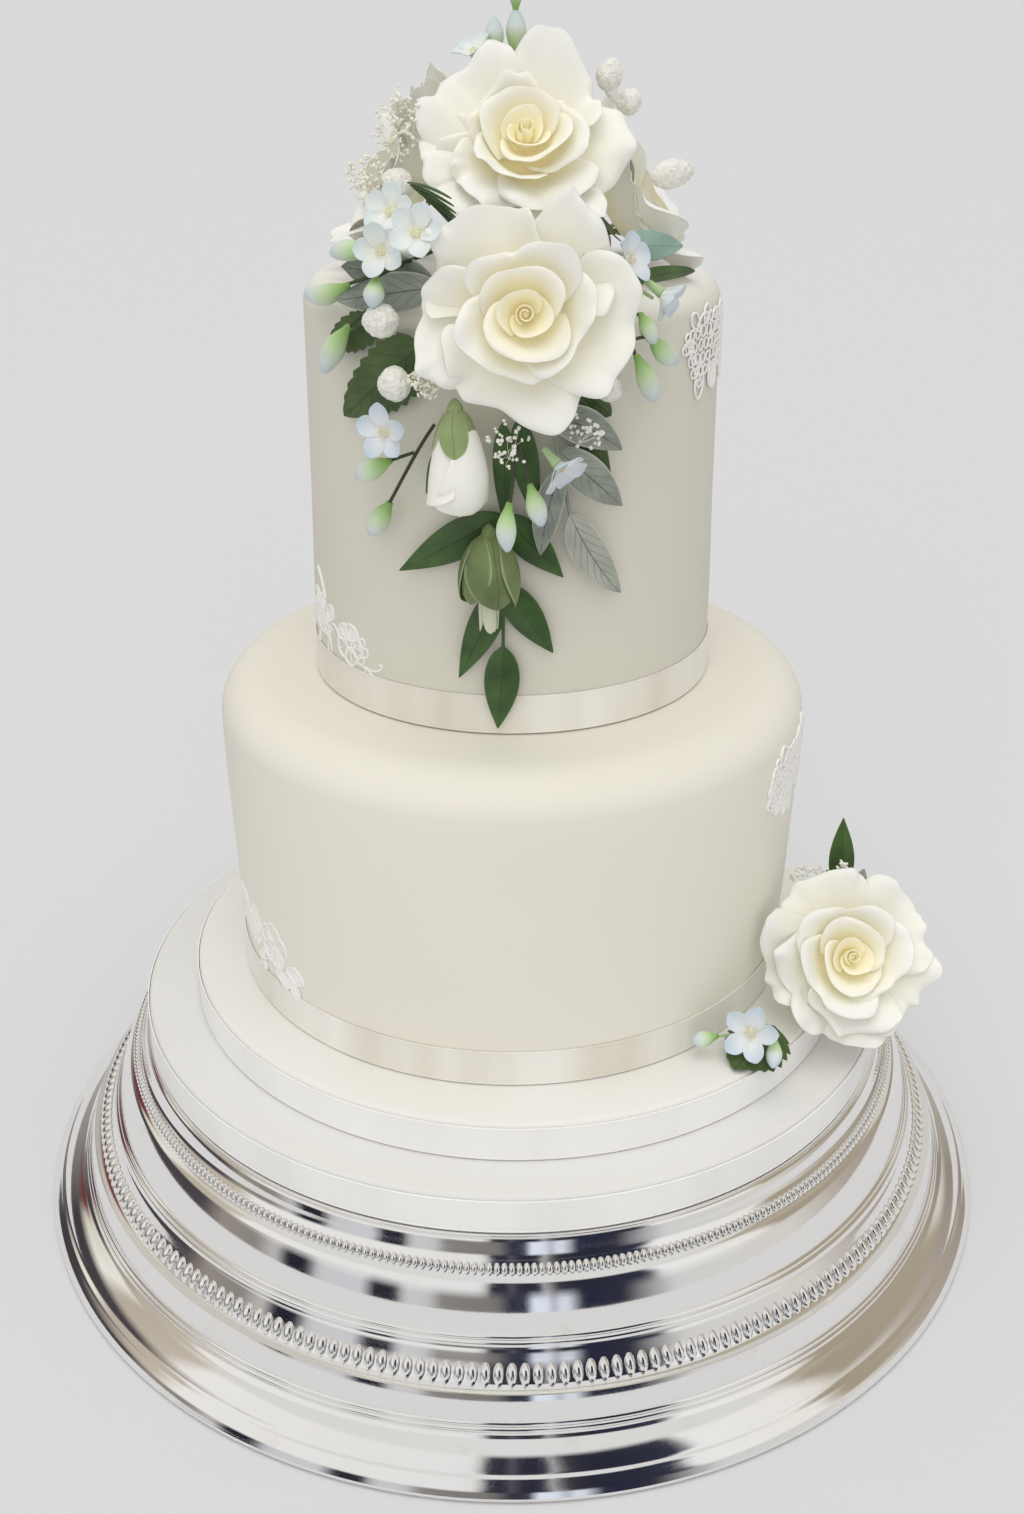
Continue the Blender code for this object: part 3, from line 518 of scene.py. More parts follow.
def makeCake(icing, shadedUpperIcing, boardIcing, drumIcing, satin, boardSatin):
    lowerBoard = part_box("board_lower_ribbon")[1].x
    upperLow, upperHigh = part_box("board_upper_ribbon")
    shift = 0.5 * (upperLow.x + upperHigh.x)
    upperBoard = upperHigh.x - shift
    skin = 0.9 * mm
    roundSolid("lower_board_icing", "board_lower", lowerBoard - skin, 2.2 * mm, 192, drumIcing, "board_icing")
    roundSolid("upper_board_icing", "board_upper", upperBoard - skin, 2.2 * mm, 192, boardIcing, "board_icing", shift)

    low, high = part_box("tier_lower")
    belly = 118.0 * mm
    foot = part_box("tier_lower_ribbon")[1].x - skin
    outline = [(0.0, high.z), (0.4 * belly, high.z), (0.75 * belly, high.z - 0.1 * mm)]
    outline += arcPoints(belly - 17.0 * mm, high.z - 17.0 * mm, 17.0 * mm, 88.0, 4.0, 12)
    outline += [(belly, high.z - 26.0 * mm), (belly - 0.15 * mm, high.z - 45.0 * mm), (belly - 0.8 * mm, high.z - 65.0 * mm)]
    outline += [(belly - 1.6 * mm, low.z + 40.0 * mm), (foot + 0.3 * mm, low.z + 25.0 * mm), (foot, low.z + 15.0 * mm)]
    outline += [(foot, low.z), (0.0, low.z)]
    tier = turnOutline("lower_tier_icing", outline, 192)
    smooth(tier, 50.0)
    giveMaterial(tier, icing)
    standsFor(tier, "sugar_paste", "tier_lower")

    low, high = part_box("tier_upper")
    shoulder = 76.5 * mm
    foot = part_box("tier_upper_ribbon")[1].x - skin
    outline = [(0.0, high.z), (0.5 * shoulder, high.z)]
    outline += arcPoints(shoulder - 10.0 * mm, high.z - 10.0 * mm, 10.0 * mm, 90.0, 0.0, 10)
    outline += [(shoulder + 0.2 * mm, high.z - 30.0 * mm), (shoulder + 0.8 * mm, low.z + 70.0 * mm)]
    outline += [(foot - 0.1 * mm, low.z + 35.0 * mm), (foot, low.z + 15.0 * mm), (foot, low.z), (0.0, low.z)]
    tier = turnOutline("upper_tier_icing", outline, 160)
    smooth(tier, 50.0)
    giveMaterial(tier, shadedUpperIcing)
    standsFor(tier, "sugar_paste", "tier_upper")

    for seed, node in enumerate(("board_lower", "board_upper", "tier_lower", "tier_upper")):
        makeRibbon(node + "_satin", node + "_ribbon", boardSatin if seed < 2 else satin, seed)
    print("cake ready")


# ---- places in the spray, and sheets shaped point by point


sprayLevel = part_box("tier_upper")[1].z


def around(angle, reach, height):
    # by the angle round the cake, the reach from its axis, and the height over the upper tier
    turn = math.radians(angle)
    return Vector((reach * math.sin(turn), -reach * math.cos(turn), sprayLevel + height))


def facing(point, direction, roll=0.0):
    turned = Vector(direction).to_track_quat("Z", "Y").to_matrix().to_4x4()
    return Matrix.Translation(point) @ turned @ Matrix.Rotation(math.radians(roll), 4, "Z")


def spanning(root, tip, outward):
    along = (tip - root).normalized()
    across = Vector(outward).cross(along).normalized()
    turned = Matrix((across, along.cross(across), along)).transposed().to_4x4()
    return Matrix.Translation(root) @ turned


def outwardAt(point):
    return Vector((point.x, point.y, 0.0)).normalized()


def shapedSheet(columns, rows, pointAt, thickness, levels=1, rim=1.0):
    # a grid whose points go where pointAt(-1..1 across, 0..1 along) says, then given a wall that is thinner at the rim
    deselectAll()
    bpy.ops.mesh.primitive_grid_add(x_subdivisions=columns, y_subdivisions=rows, size=2.0)
    sheet = bpy.context.active_object
    body = sheet.vertex_groups.new(name="body") if rim < 1.0 else None
    for point in sheet.data.vertices:
        u, v = point.co.x, 0.5 * (point.co.y + 1.0)
        point.co = pointAt(u, v)
        if body:
            body.add([point.index], min(1.0, 3.0 * min(1.0 - abs(u), 1.0 - v)), "REPLACE")
    wall = sheet.modifiers.new("Wall", "SOLIDIFY")
    wall.thickness = thickness
    wall.offset = 0.0
    if body:
        wall.vertex_group = body.name
        wall.thickness_vertex_group = rim
    if levels:
        soft = sheet.modifiers.new("Soft", "SUBSURF")
        soft.levels = levels
        soft.render_levels = levels
    applyModifiers(sheet)
    return sheet


def tubes(paths, radius, sides=2):
    # smooth stems as one mesh; each path is its points and the thickness shares at them, or None
    line = bpy.data.curves.new("stems", "CURVE")
    line.dimensions = "3D"
    line.bevel_depth = radius
    line.bevel_resolution = sides
    line.resolution_u = 5
    line.use_fill_caps = True
    for points, tips in paths:
        path = line.splines.new("NURBS")
        path.points.add(len(points) - 1)
        for k, (spot, point) in enumerate(zip(path.points, points)):
            spot.co = (*point, 1.0)
            spot.radius = tips[k] if tips else 1.0
        path.order_u = min(4, len(points))
        path.use_endpoint_u = True
    stems = bpy.data.objects.new("stems", line)
    bpy.context.scene.collection.objects.link(stems)
    pick(stems)
    bpy.ops.object.convert(target="MESH")
    editAll()
    bpy.ops.mesh.remove_doubles(threshold=0.001 * mm)
    bpy.ops.mesh.normals_make_consistent(inside=False)
    objectMode()
    return bpy.context.active_object


def tube(points, radius, sides=2, tips=None):
    return tubes([(points, tips)], radius, sides)


def shapedBall(segments, rings, pointAt):
    # a ball whose points go where pointAt(0..1 from its foot to its tip, turn) says
    deselectAll()
    bpy.ops.mesh.primitive_uv_sphere_add(segments=segments, ring_count=rings, radius=1.0)
    ball = bpy.context.active_object
    for point in ball.data.vertices:
        share = 1.0 - math.acos(max(-1.0, min(1.0, point.co.z))) / math.pi
        point.co = pointAt(share, math.atan2(point.co.y, point.co.x))
    return ball


def place(piece, matrix):
    piece.data.transform(matrix)
    return piece


def paint(piece, name, valueAt):
    # a number at each point for the material to read
    layer = piece.data.attributes.new(name, "FLOAT", "POINT")
    layer.data.foreach_set("value", [valueAt(point.co) for point in piece.data.vertices])


def blend3(first, middle, last, share):
    rest = 1.0 - share
    return rest * rest * first + 2.0 * share * rest * middle + share * share * last


# ---- roses


roseLayers = {
    # petals of each kind, in mm and degrees: half angle they wrap, reach and height of the foot, length, angle
    # from the heart line at foot, middle and rim, roll of the rim and its width, ruffle, how much shorter the
    # sides are, height of the point, how far one side stands outside the other, how three-cornered the rim is,
    # and how far the rim leans to one side
    "rolled": {
        "half": 122.0, "reach": 1.5, "height": -10.0, "length": 15.0, "bend": (22.0, 8.0, 40.0), "roll": 25.0,
        "rollWidth": 1.6, "ruffle": 0.3, "corner": 0.30, "tip": 0.0, "spiral": 1.7, "threeway": 0.05, "lean": 0.6,
    },
    "heart": {
        "half": 112.0, "reach": 2.4, "height": -11.5, "length": 19.8, "bend": (48.0, 4.0, 56.0), "roll": 55.0,
        "rollWidth": 2.4, "ruffle": 0.7, "corner": 0.34, "tip": 0.02, "spiral": 2.4, "threeway": 0.07, "lean": 1.3,
    },
    "cup": {
        "half": 88.0, "reach": 3.2, "height": -12.5, "length": 25.0, "bend": (82.0, 0.0, 60.0), "roll": 80.0,
        "rollWidth": 3.0, "ruffle": 2.0, "corner": 0.40, "tip": 0.05, "spiral": 2.8, "threeway": 0.06, "lean": 1.6,
    },
    "middle": {
        "half": 58.0, "reach": 3.8, "height": -13.5, "length": 30.0, "bend": (92.0, 14.0, 82.0), "roll": 90.0,
        "rollWidth": 3.4, "ruffle": 3.0, "corner": 0.42, "tip": 0.07, "spiral": 2.8, "threeway": 0.03, "lean": 1.0,
    },
    "outer": {
        "half": 54.0, "reach": 4.2, "height": -15.0, "length": 32.8, "bend": (98.0, 28.0, 86.0), "roll": 70.0,
        "rollWidth": 3.2, "ruffle": 3.8, "corner": 0.42, "tip": 0.09, "spiral": 3.4, "threeway": 0.0, "lean": 0.0,
    },
}


petalWall = 0.44


def makePetal(kind, azimuth, size, rng, changes=None):
    petal = dict(roseLayers[kind], **(changes or {}))
    half = math.radians(petal["half"] * rng.uniform(0.95, 1.05))
    base = math.radians(azimuth)
    length = petal["length"] * rng.uniform(0.98, 1.02)
    tipAt = petal.get("tipAt", rng.uniform(-0.35, 0.35))
    notchAt = petal.get("notchAt", rng.uniform(-0.7, 0.7))
    notch = petal.get("notch", 0.03)
    waves = petal.get("waves", rng.uniform(1.3, 1.9))
    phase = petal.get("phase", rng.uniform(0.0, 2.0 * math.pi))
    frill = rng.uniform(0.0, 2.0 * math.pi)
    leanAt = base + rng.uniform(-1.2, 1.2)
    own = rng.uniform(0.0, 90.0)
    foot, middle, rim = petal["bend"]

    def rumple(u, v, fineness):
        return clouds.noise(Vector((fineness * u, 1.8 * v, own)))

    def pointAt(u, v):
        side = abs(u)
        point = petal["tip"] * math.exp(-abs(u - tipAt) / 0.13)
        dent = notch * math.exp(-((u - notchAt) / 0.10) ** 2)
        long = length * (1.0 - petal["corner"] * side ** 3.2 + point - dent)
        rollStart = 1.0 - petal["rollWidth"] / long
        curl = max(0.05, 0.75 + 2.0 * rumple(u, 6.0, 2.6) + 0.2 * math.sin(5.0 * u + frill))
        out, up = petal["reach"], petal["height"]
        steps = 16
        for k in range(steps):
            share = v * (k + 0.5) / steps
            angle = blend3(foot, middle, rim, share)
            if share > rollStart:
                turn = (share - rollStart) / (1.0 - rollStart)
                angle += petal["roll"] * curl * turn ** 1.5
            out += math.sin(math.radians(angle)) * v * long / steps
            up += math.cos(math.radians(angle)) * v * long / steps
        out += petal["spiral"] * u * (0.2 + 0.8 * v)
        wave = petal["ruffle"] * v * v * math.sin(math.pi * waves * u + phase)
        wave += petal["ruffle"] * (1.3 * v ** 3 * rumple(u, v, 3.2) + 0.85 * v ** 5 * rumple(u, 9.0, 6.5))
        around = base + half * u + 0.05 * v * v * math.sin(2.3 * math.pi * u + 2.0 * phase)
        out *= 1.0 + petal["threeway"] * v * v * math.cos(3.0 * around + phase)
        out += 0.45 * wave + 0.6 * petal["ruffle"] * v ** 4 * rumple(u, 14.0, 4.5)
        up += wave + petal["lean"] * v * math.cos(around - leanAt)
        return Vector((out * math.cos(around), out * math.sin(around), up)) * size

    columns = {"rolled": 20, "heart": 24, "cup": 28, "middle": 26, "outer": 30}[kind]
    return shapedSheet(columns, 15, pointAt, petalWall * size, 1, 0.4)


def rolledHeart(size):
    def pointAt(u, v):
        share = 0.5 * (u + 1.0)
        turn = 2.0 * math.pi * 1.6 * share + 0.6
        out = 0.85 + 2.1 * share + 0.35 * v ** 4
        up = -9.0 + v * (14.4 - 1.8 * share)
        return Vector((out * math.cos(turn), out * math.sin(turn), up)) * size

    def corePoint(share, turn):
        out = 1.25 * math.sin(math.pi * share) ** 0.4
        return Vector((out * math.cos(turn), out * math.sin(turn), -9.0 + 11.6 * share)) * size

    coil = shapedSheet(30, 8, pointAt, 0.42 * size)
    core = shapedBall(12, 10, corePoint)
    return joinPieces([coil, core], "heart")


def roseFoot(size):
    # the solid middle that the petals are stuck to
    def footPoint(share, turn):
        out = 4.3 * math.sin(math.pi * share) ** 0.6
        return Vector((out * math.cos(turn), out * math.sin(turn), -16.0 + 8.0 * share)) * size

    return shapedBall(14, 10, footPoint)


def makeRose(name, node, point, direction, radius, azimuths, seed, petalMaterial, greenMaterial):
    # azimuths: for each kind of petal, where its petals stand, and changes to single ones
    rng = random.Random(seed)
    size = radius / (34.5 * mm)
    petals = [rolledHeart(size * mm), roseFoot(size * mm)]
    for kind, places in azimuths.items():
        for spot in places:
            azimuth, changes = spot if isinstance(spot, tuple) else (spot, None)
            petals.append(makePetal(kind, azimuth, size * mm, rng, changes))
    rose = joinPieces(petals, name)
    # the heart tint is partly the cream of the paste and partly painted shade laid wide into the cup; the next number
    # is painted shade in the hollows, stronger lower down in the rose
    paint(rose, "heart", lambda co: max(0.0, 1.0 - math.hypot(co.x, co.y) / (23.0 * size * mm)))
    paint(rose, "hollowShade", lambda co: max(0.0, min(1.0, (4.0 * size * mm - co.z) / (16.0 * size * mm))))
    where = facing(point, direction)
    place(rose, where)
    smooth(rose, 180.0)
    giveMaterial(rose, petalMaterial)
    standsFor(rose, "rose_petal", node)
    makeCalyx(name + "_calyx", where, size, greenMaterial)
    return rose


def makeCalyx(name, where, size, material):
    # the green cup behind a rose, with five pointed sepals that lie along its back
    def hip(share, turn):
        height = -22.5 + 6.0 * share
        girth = (0.35 + 3.2 * math.sin(math.pi * min(1.0, 0.12 + 0.75 * share)) ** 0.8) * (0.0 if share in (0.0, 1.0) else 1.0)
        return Vector((girth * math.cos(turn), girth * math.sin(turn), height)) * size * mm

    pieces = [shapedBall(14, 10, hip)]
    for k in range(5):
        azimuth = 2.0 * math.pi * k / 5.0 + 0.3

        def sepal(u, v):
            wide = 2.4 * math.sin(math.pi * v ** 0.75) ** 0.9 * (1.0 - 0.3 * v) * u
            out = 1.6 + 13.5 * v
            up = -18.3 + 3.2 * v * v + 0.12 * wide * wide
            spot = Vector((out, wide, up))
            return Matrix.Rotation(azimuth, 3, "Z") @ spot * size * mm

        pieces.append(shapedSheet(6, 9, sepal, 0.4 * size * mm))
    calyx = joinPieces(pieces, name)
    place(calyx, where)
    smooth(calyx, 60.0)
    giveMaterial(calyx, material)
    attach(calyx, "root")
    return calyx


def petalFinish():
    petal = newMaterial("ivoryFlowerPaste", (0.92, 0.915, 0.87), 0.55, {
        "Specular IOR Level": 0.3, "Subsurface Weight": 0.25, "Subsurface Scale": 1.6 * mm, "Emission Strength": 1.0,
    })
    petal.node_tree.nodes["Principled BSDF"].inputs["Subsurface Radius"].default_value = (1.0, 0.85, 0.6)
    heart = addNode(petal, "ShaderNodeAttribute")
    heart.attribute_name = "heart"
    hollowShade = addNode(petal, "ShaderNodeAttribute")
    hollowShade.attribute_name = "hollowShade"
    both = addNode(petal, "ShaderNodeMath")
    both.operation = "MULTIPLY_ADD"
    both.inputs[1].default_value = 0.30
    link(petal, hollowShade.outputs["Fac"], both.inputs[0])
    link(petal, heart.outputs["Fac"], both.inputs[2])
    # from ivory to a darker cream: partly the paste's own cream heart, partly painted shade in the cup and the hollows
    stops = ((0.0, (0.94, 0.935, 0.89)), (0.40, (0.935, 0.92, 0.80)), (0.68, (0.93, 0.89, 0.69)), (1.0, (0.93, 0.87, 0.61)))
    link(petal, ramp(petal, both.outputs["Value"], stops), shaderOf(petal).inputs["Base Color"])
    # painted light: the paste glows by emission, faintly everywhere and more in the heart and the hollows, in place of
    # light that would pass through the thin paste
    paintedGlow = (
        (0.0, (0.014, 0.014, 0.014)), (0.20, (0.026, 0.025, 0.022)), (0.40, (0.038, 0.036, 0.028)),
        (0.70, (0.052, 0.046, 0.033)), (1.0, (0.088, 0.077, 0.054)),
    )
    link(petal, ramp(petal, both.outputs["Value"], paintedGlow), shaderOf(petal).inputs["Emission Color"])
    bump(petal, noise(petal, objectCoords(petal), 260.0, 3.0), 0.10, 0.25 * mm)
    petal.cycles.emission_sampling = "NONE"
    return petal


def greenFinish(name, light, dark, roughness=0.5, scale=120.0):
    green = newMaterial(name, light, roughness, {"Specular IOR Level": 0.4})
    spots = noise(green, objectCoords(green), scale, 4.0)
    link(green, ramp(green, spots, ((0.30, dark), (0.70, light))), shaderOf(green).inputs["Base Color"])
    bump(green, noise(green, objectCoords(green), 700.0, 2.0), 0.15, 0.1 * mm)
    return green


def makeRoses(petalMaterial, greenMaterial):
    front = {
        "rolled": [300.0, (120.0, {"length": 15.6})],
        "heart": [(75.0, {"half": 104.0}), (255.0, {"half": 108.0, "length": 20.4})],
        "cup": [
            (215.0, {"half": 86.0, "length": 24.6, "tip": 0.04, "tipAt": -0.9, "threeway": 0.05}),
            (330.0, {"half": 80.0, "length": 23.8, "tip": 0.0}),
            (82.0, {"half": 76.0, "length": 24.6, "tip": 0.16, "tipAt": -0.75, "ruffle": 3.2, "bend": (80.0, 4.0, 60.0)}),
        ],
        "outer": [
            (124.0, {"half": 56.0, "tip": 0.02, "length": 33.6, "notch": 0.10, "notchAt": -0.86, "ruffle": 5.2}),
            (50.0, {"half": 52.0, "tip": 0.03, "length": 33.4, "notch": 0.06, "notchAt": 0.7, "ruffle": 5.2}),
            (-16.0, {"half": 56.0, "tipAt": -0.75, "tip": 0.10, "ruffle": 3.0, "length": 33.4}),
            (-104.0, {"half": 66.0, "tipAt": 0.36, "tip": 0.04, "length": 31.8, "notch": 0.07, "notchAt": 0.06, "corner": 0.28}),
            (188.0, {"half": 46.0, "tipAt": 0.85, "tip": 0.16, "length": 33.4, "ruffle": 4.8}),
        ],
    }
    top = {
        "rolled": [80.0, (250.0, {"length": 15.6})],
        "heart": [(110.0, {"length": 20.6}), (300.0, {"length": 19.0})],
        "cup": [
            (118.0, {"length": 22.4, "half": 78.0, "tip": 0.0, "bend": (80.0, 2.0, 46.0)}),
            (222.0, {"length": 21.8, "half": 78.0, "tip": 0.10, "tipAt": 0.5, "bend": (80.0, 4.0, 50.0)}),
            (345.0, {"length": 22.4, "half": 70.0, "bend": (80.0, 6.0, 54.0)}),
        ],
        "middle": [
            (-70.0, {"length": 27.4, "tipAt": 0.2, "tip": 0.12}), (-138.0, {"length": 28.0, "half": 48.0, "ruffle": 3.6}),
        ],
        "outer": [
            (130.0, {"half": 58.0, "tip": 0.0, "length": 33.6, "corner": 0.34, "bend": (98.0, 24.0, 80.0)}),
            (64.0, {"half": 54.0, "tipAt": 0.25, "tip": 0.02, "length": 33.8, "corner": 0.34, "bend": (98.0, 22.0, 78.0)}),
            (-6.0, {"half": 52.0, "tip": 0.02, "length": 33.5}),
            (-72.0, {"tipAt": 0.4, "tip": 0.12}),
            (-142.0, {"half": 50.0, "ruffle": 3.6}),
            (188.0, {"half": 46.0, "ruffle": 3.2}),
        ],
    }
    plain = {
        "rolled": [118.0, 290.0],
        "heart": [60.0, 240.0],
        "cup": [92.0, 215.0, 335.0],
        "middle": [(150.0, {"tip": 0.10}), 275.0],
        "outer": [100.0, 32.0, -42.0, -112.0, (172.0, {"tip": 0.12})],
    }
    ruffled = {
        "rolled": [118.0, 290.0],
        "heart": [60.0, 240.0],
        "cup": [(95.0, {"ruffle": 2.2}), (218.0, {"ruffle": 2.8, "length": 25.6}), (338.0, {"length": 25.4})],
        "middle": [(185.0, {"ruffle": 4.0, "length": 29.0}), (262.0, {"ruffle": 4.2, "length": 29.5, "tip": 0.04})],
        "outer": [
            (98.0, {"tip": 0.02, "length": 33.4, "corner": 0.34}), (30.0, {"tip": 0.03, "length": 33.4, "corner": 0.34}), (-40.0, {"tip": 0.03}),
            (-108.0, {"tip": 0.03, "ruffle": 4.4}), (170.0, {"tip": 0.05, "ruffle": 4.6}),
        ],
    }
    cupped = dict(plain, outer=[
        (spot, {"bend": (97.0, 14.0, 66.0), "length": 36.0, "half": 56.0, "ruffle": 4.4, "tip": 0.05}) for spot in (95.0, 25.0, -45.0, -115.0, 170.0)
    ])
    roses = (
        # name, node, middle, where it faces, radius, petals
        ("front_rose", "rose_front", around(2.3, 0.1030, 0.0020), (0.00, -0.98, 0.18), 0.0350, front),
        ("top_rose", "rose_top", around(5.5, 0.0470, 0.0500), (0.02, -0.79, 0.61), 0.0345, top),
        ("left_rose", "rose_left", around(-74.0, 0.0430, 0.0385), (-0.86, -0.06, 0.50), 0.0350, cupped),
        ("right_rose", "rose_right", around(77.0, 0.0470, 0.0295), (0.86, -0.04, 0.50), 0.0335, cupped),
        ("back_rose", "rose_back", around(178.0, 0.0430, 0.0340), (0.02, 0.80, 0.60), 0.0330, cupped),
        ("side_rose", "rose_side", Vector((0.1335, -0.0735, 0.1415)), (0.06, -0.83, 0.55), 0.0350, ruffled),
    )
    for seed, (name, node, point, direction, radius, petals) in enumerate(roses):
        makeRose(name, node, point, direction, radius, petals, seed + 3, petalMaterial, greenMaterial)
    print("roses ready")


# ---- finishes of the leaves, buds and blossoms


def leafFinish(name, light, dark, veinColour, changes=None):
    look = {
        "roughness": 0.5, "specular": 0.4, "pairs": 7.0, "slant": 0.30, "rib": 0.05, "side": 0.07,
        "sideDepth": 0.45, "veinTint": 0.5, "depth": 0.5 * mm, "edge": None, "patches": 90.0, "coat": 0.0,
    }
    look.update(changes or {})
    leaf = newMaterial(name, light, look["roughness"], {
        "Specular IOR Level": look["specular"], "Coat Weight": look["coat"], "Coat Roughness": 0.25,
    })
    map = addNode(leaf, "ShaderNodeTexCoord")
    parts = addNode(leaf, "ShaderNodeSeparateXYZ")
    link(leaf, map.outputs["UV"], parts.inputs["Vector"])
    across = reckon(leaf, "ABSOLUTE", reckon(leaf, "MULTIPLY_ADD", parts.outputs["X"], 2.0, -1.0))
    rib = reckon(leaf, "MAXIMUM", reckon(leaf, "SUBTRACT", 1.0, reckon(leaf, "DIVIDE", across, look["rib"])), 0.0)
    slanted = reckon(leaf, "SUBTRACT", parts.outputs["Y"], reckon(leaf, "MULTIPLY", across, look["slant"]))
    away = reckon(leaf, "PINGPONG", reckon(leaf, "MULTIPLY", slanted, look["pairs"]), 0.5)
    side = reckon(leaf, "MAXIMUM", reckon(leaf, "SUBTRACT", 1.0, reckon(leaf, "DIVIDE", away, look["side"])), 0.0)
    faded = reckon(leaf, "MULTIPLY_ADD", across, -0.6 * look["sideDepth"], look["sideDepth"])
    veins = reckon(leaf, "MAXIMUM", rib, reckon(leaf, "MULTIPLY", side, faded))
    spots = noise(leaf, objectCoords(leaf), look["patches"], 4.0)
    face = ramp(leaf, spots, ((0.30, dark), (0.70, light)))
    colour = mixColours(leaf, reckon(leaf, "MULTIPLY", veins, look["veinTint"]), face, veinColour)
    if look["edge"]:
        rim = reckon(leaf, "MULTIPLY_ADD", across, 8.0, -7.0)
        colour = mixColours(leaf, reckon(leaf, "MAXIMUM", rim, 0.0), colour, look["edge"])
    link(leaf, colour, shaderOf(leaf).inputs["Base Color"])
    sunk = reckon(leaf, "MULTIPLY", veins, -1.0)
    bump(leaf, sunk, 0.6, look["depth"])
    bump(leaf, noise(leaf, objectCoords(leaf), 900.0, 2.0), 0.12, 0.1 * mm)
    return leaf


def fadeFinish(name, stops, roughness=0.5, grain=0.1):
    # a colour that changes along the piece, by its painted "along"
    fade = newMaterial(name, stops[0][1], roughness, {
        "Specular IOR Level": 0.35, "Subsurface Weight": 0.12, "Subsurface Scale": 1.0 * mm,
    })
    fade.node_tree.nodes["Principled BSDF"].inputs["Subsurface Radius"].default_value = (0.8, 1.0, 0.8)
    link(fade, ramp(fade, painted(fade, "along"), stops), shaderOf(fade).inputs["Base Color"])
    bump(fade, noise(fade, objectCoords(fade), 500.0, 3.0), grain, 0.2 * mm)
    return fade


def sugaredFinish(name, colour):
    sugar = newMaterial(name, colour, 0.75)
    crust = addNode(sugar, "ShaderNodeTexVoronoi", {"Scale": 950.0})
    link(sugar, objectCoords(sugar), crust.inputs["Vector"])
    bump(sugar, crust.outputs["Distance"], 0.6, 0.4 * mm)
    grains = noise(sugar, objectCoords(sugar), 620.0, 4.0, 0.7)
    pits = tuple(0.80 * part for part in colour)
    link(sugar, ramp(sugar, grains, ((0.36, pits), (0.56, colour))), shaderOf(sugar).inputs["Base Color"])
    bump(sugar, grains, 0.6, 0.6 * mm)
    return sugar


# ---- leaves


leafKinds = {
    # outline powers at root and tip, fold along the rib, arch, edge waves, sideways bow, teeth and their depth
    "ruscus": {"root": 0.70, "end": 1.10, "fold": 0.16, "arch": 0.05, "wave": 0.02, "bow": 0.02, "teeth": 0},
    "grey": {"root": 0.62, "end": 0.90, "fold": 0.12, "arch": 0.06, "wave": 0.05, "bow": 0.05, "teeth": 0},
    "rose": {"root": 0.50, "end": 0.80, "fold": 0.20, "arch": 0.05, "wave": 0.04, "bow": 0.02, "teeth": 9},
    "blade": {"root": 0.40, "end": 0.60, "fold": 0.30, "arch": 0.03, "wave": 0.00, "bow": 0.02, "teeth": 0},
}


def makeLeaf(kind, root, tip, width, outward, rng, changes=None):
    leaf = dict(leafKinds[kind], **(changes or {}))
    length = (tip - root).length
    peak = leaf["root"] / (leaf["root"] + leaf["end"])
    fullest = peak ** leaf["root"] * (1.0 - peak) ** leaf["end"]
    phase = rng.uniform(0.0, 2.0 * math.pi)
    bow = leaf["bow"] * rng.uniform(-1.0, 1.0)
    bite = leaf.get("bite", 0.20)

    def pointAt(u, v):
        wide = width * max(v, 0.0) ** leaf["root"] * max(1.0 - v, 0.0) ** leaf["end"] / fullest
        wide = 0.5 * wide + 0.15 * mm
        if leaf["teeth"] and 0.06 < v < 0.99:
            wide *= 1.0 + bite * ((v * leaf["teeth"]) % 1.0 - 0.6) * abs(u) ** 5
        x = wide * u + 4.0 * bow * length * v * (1.0 - v)
        y = 4.0 * leaf["arch"] * length * v * (1.0 - v) - leaf["fold"] * abs(wide * u)
        y += leaf["wave"] * width * u * u * math.sin(8.0 * v + phase + 1.3 * u)
        return Vector((x, y, length * v))

    toothed = leaf["teeth"] > 0
    sheet = shapedSheet(10, 37 if toothed else 14, pointAt, 0.35 * mm, 0 if toothed else 1)
    return place(sheet, spanning(root, tip, outward))


def leafBetween(kind, root, tip, width, rng, changes=None):
    start = around(*root)
    return makeLeaf(kind, start, around(*tip), width, outwardAt(start), rng, changes)


def finishLeaves(pieces, name, node, slot, material):
    made = joinPieces(pieces, name)
    smooth(made, 50.0)
    giveMaterial(made, material)
    return standsFor(made, slot, node) if node else made


def ridesAlong(piece):
    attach(piece, "root")
    return piece


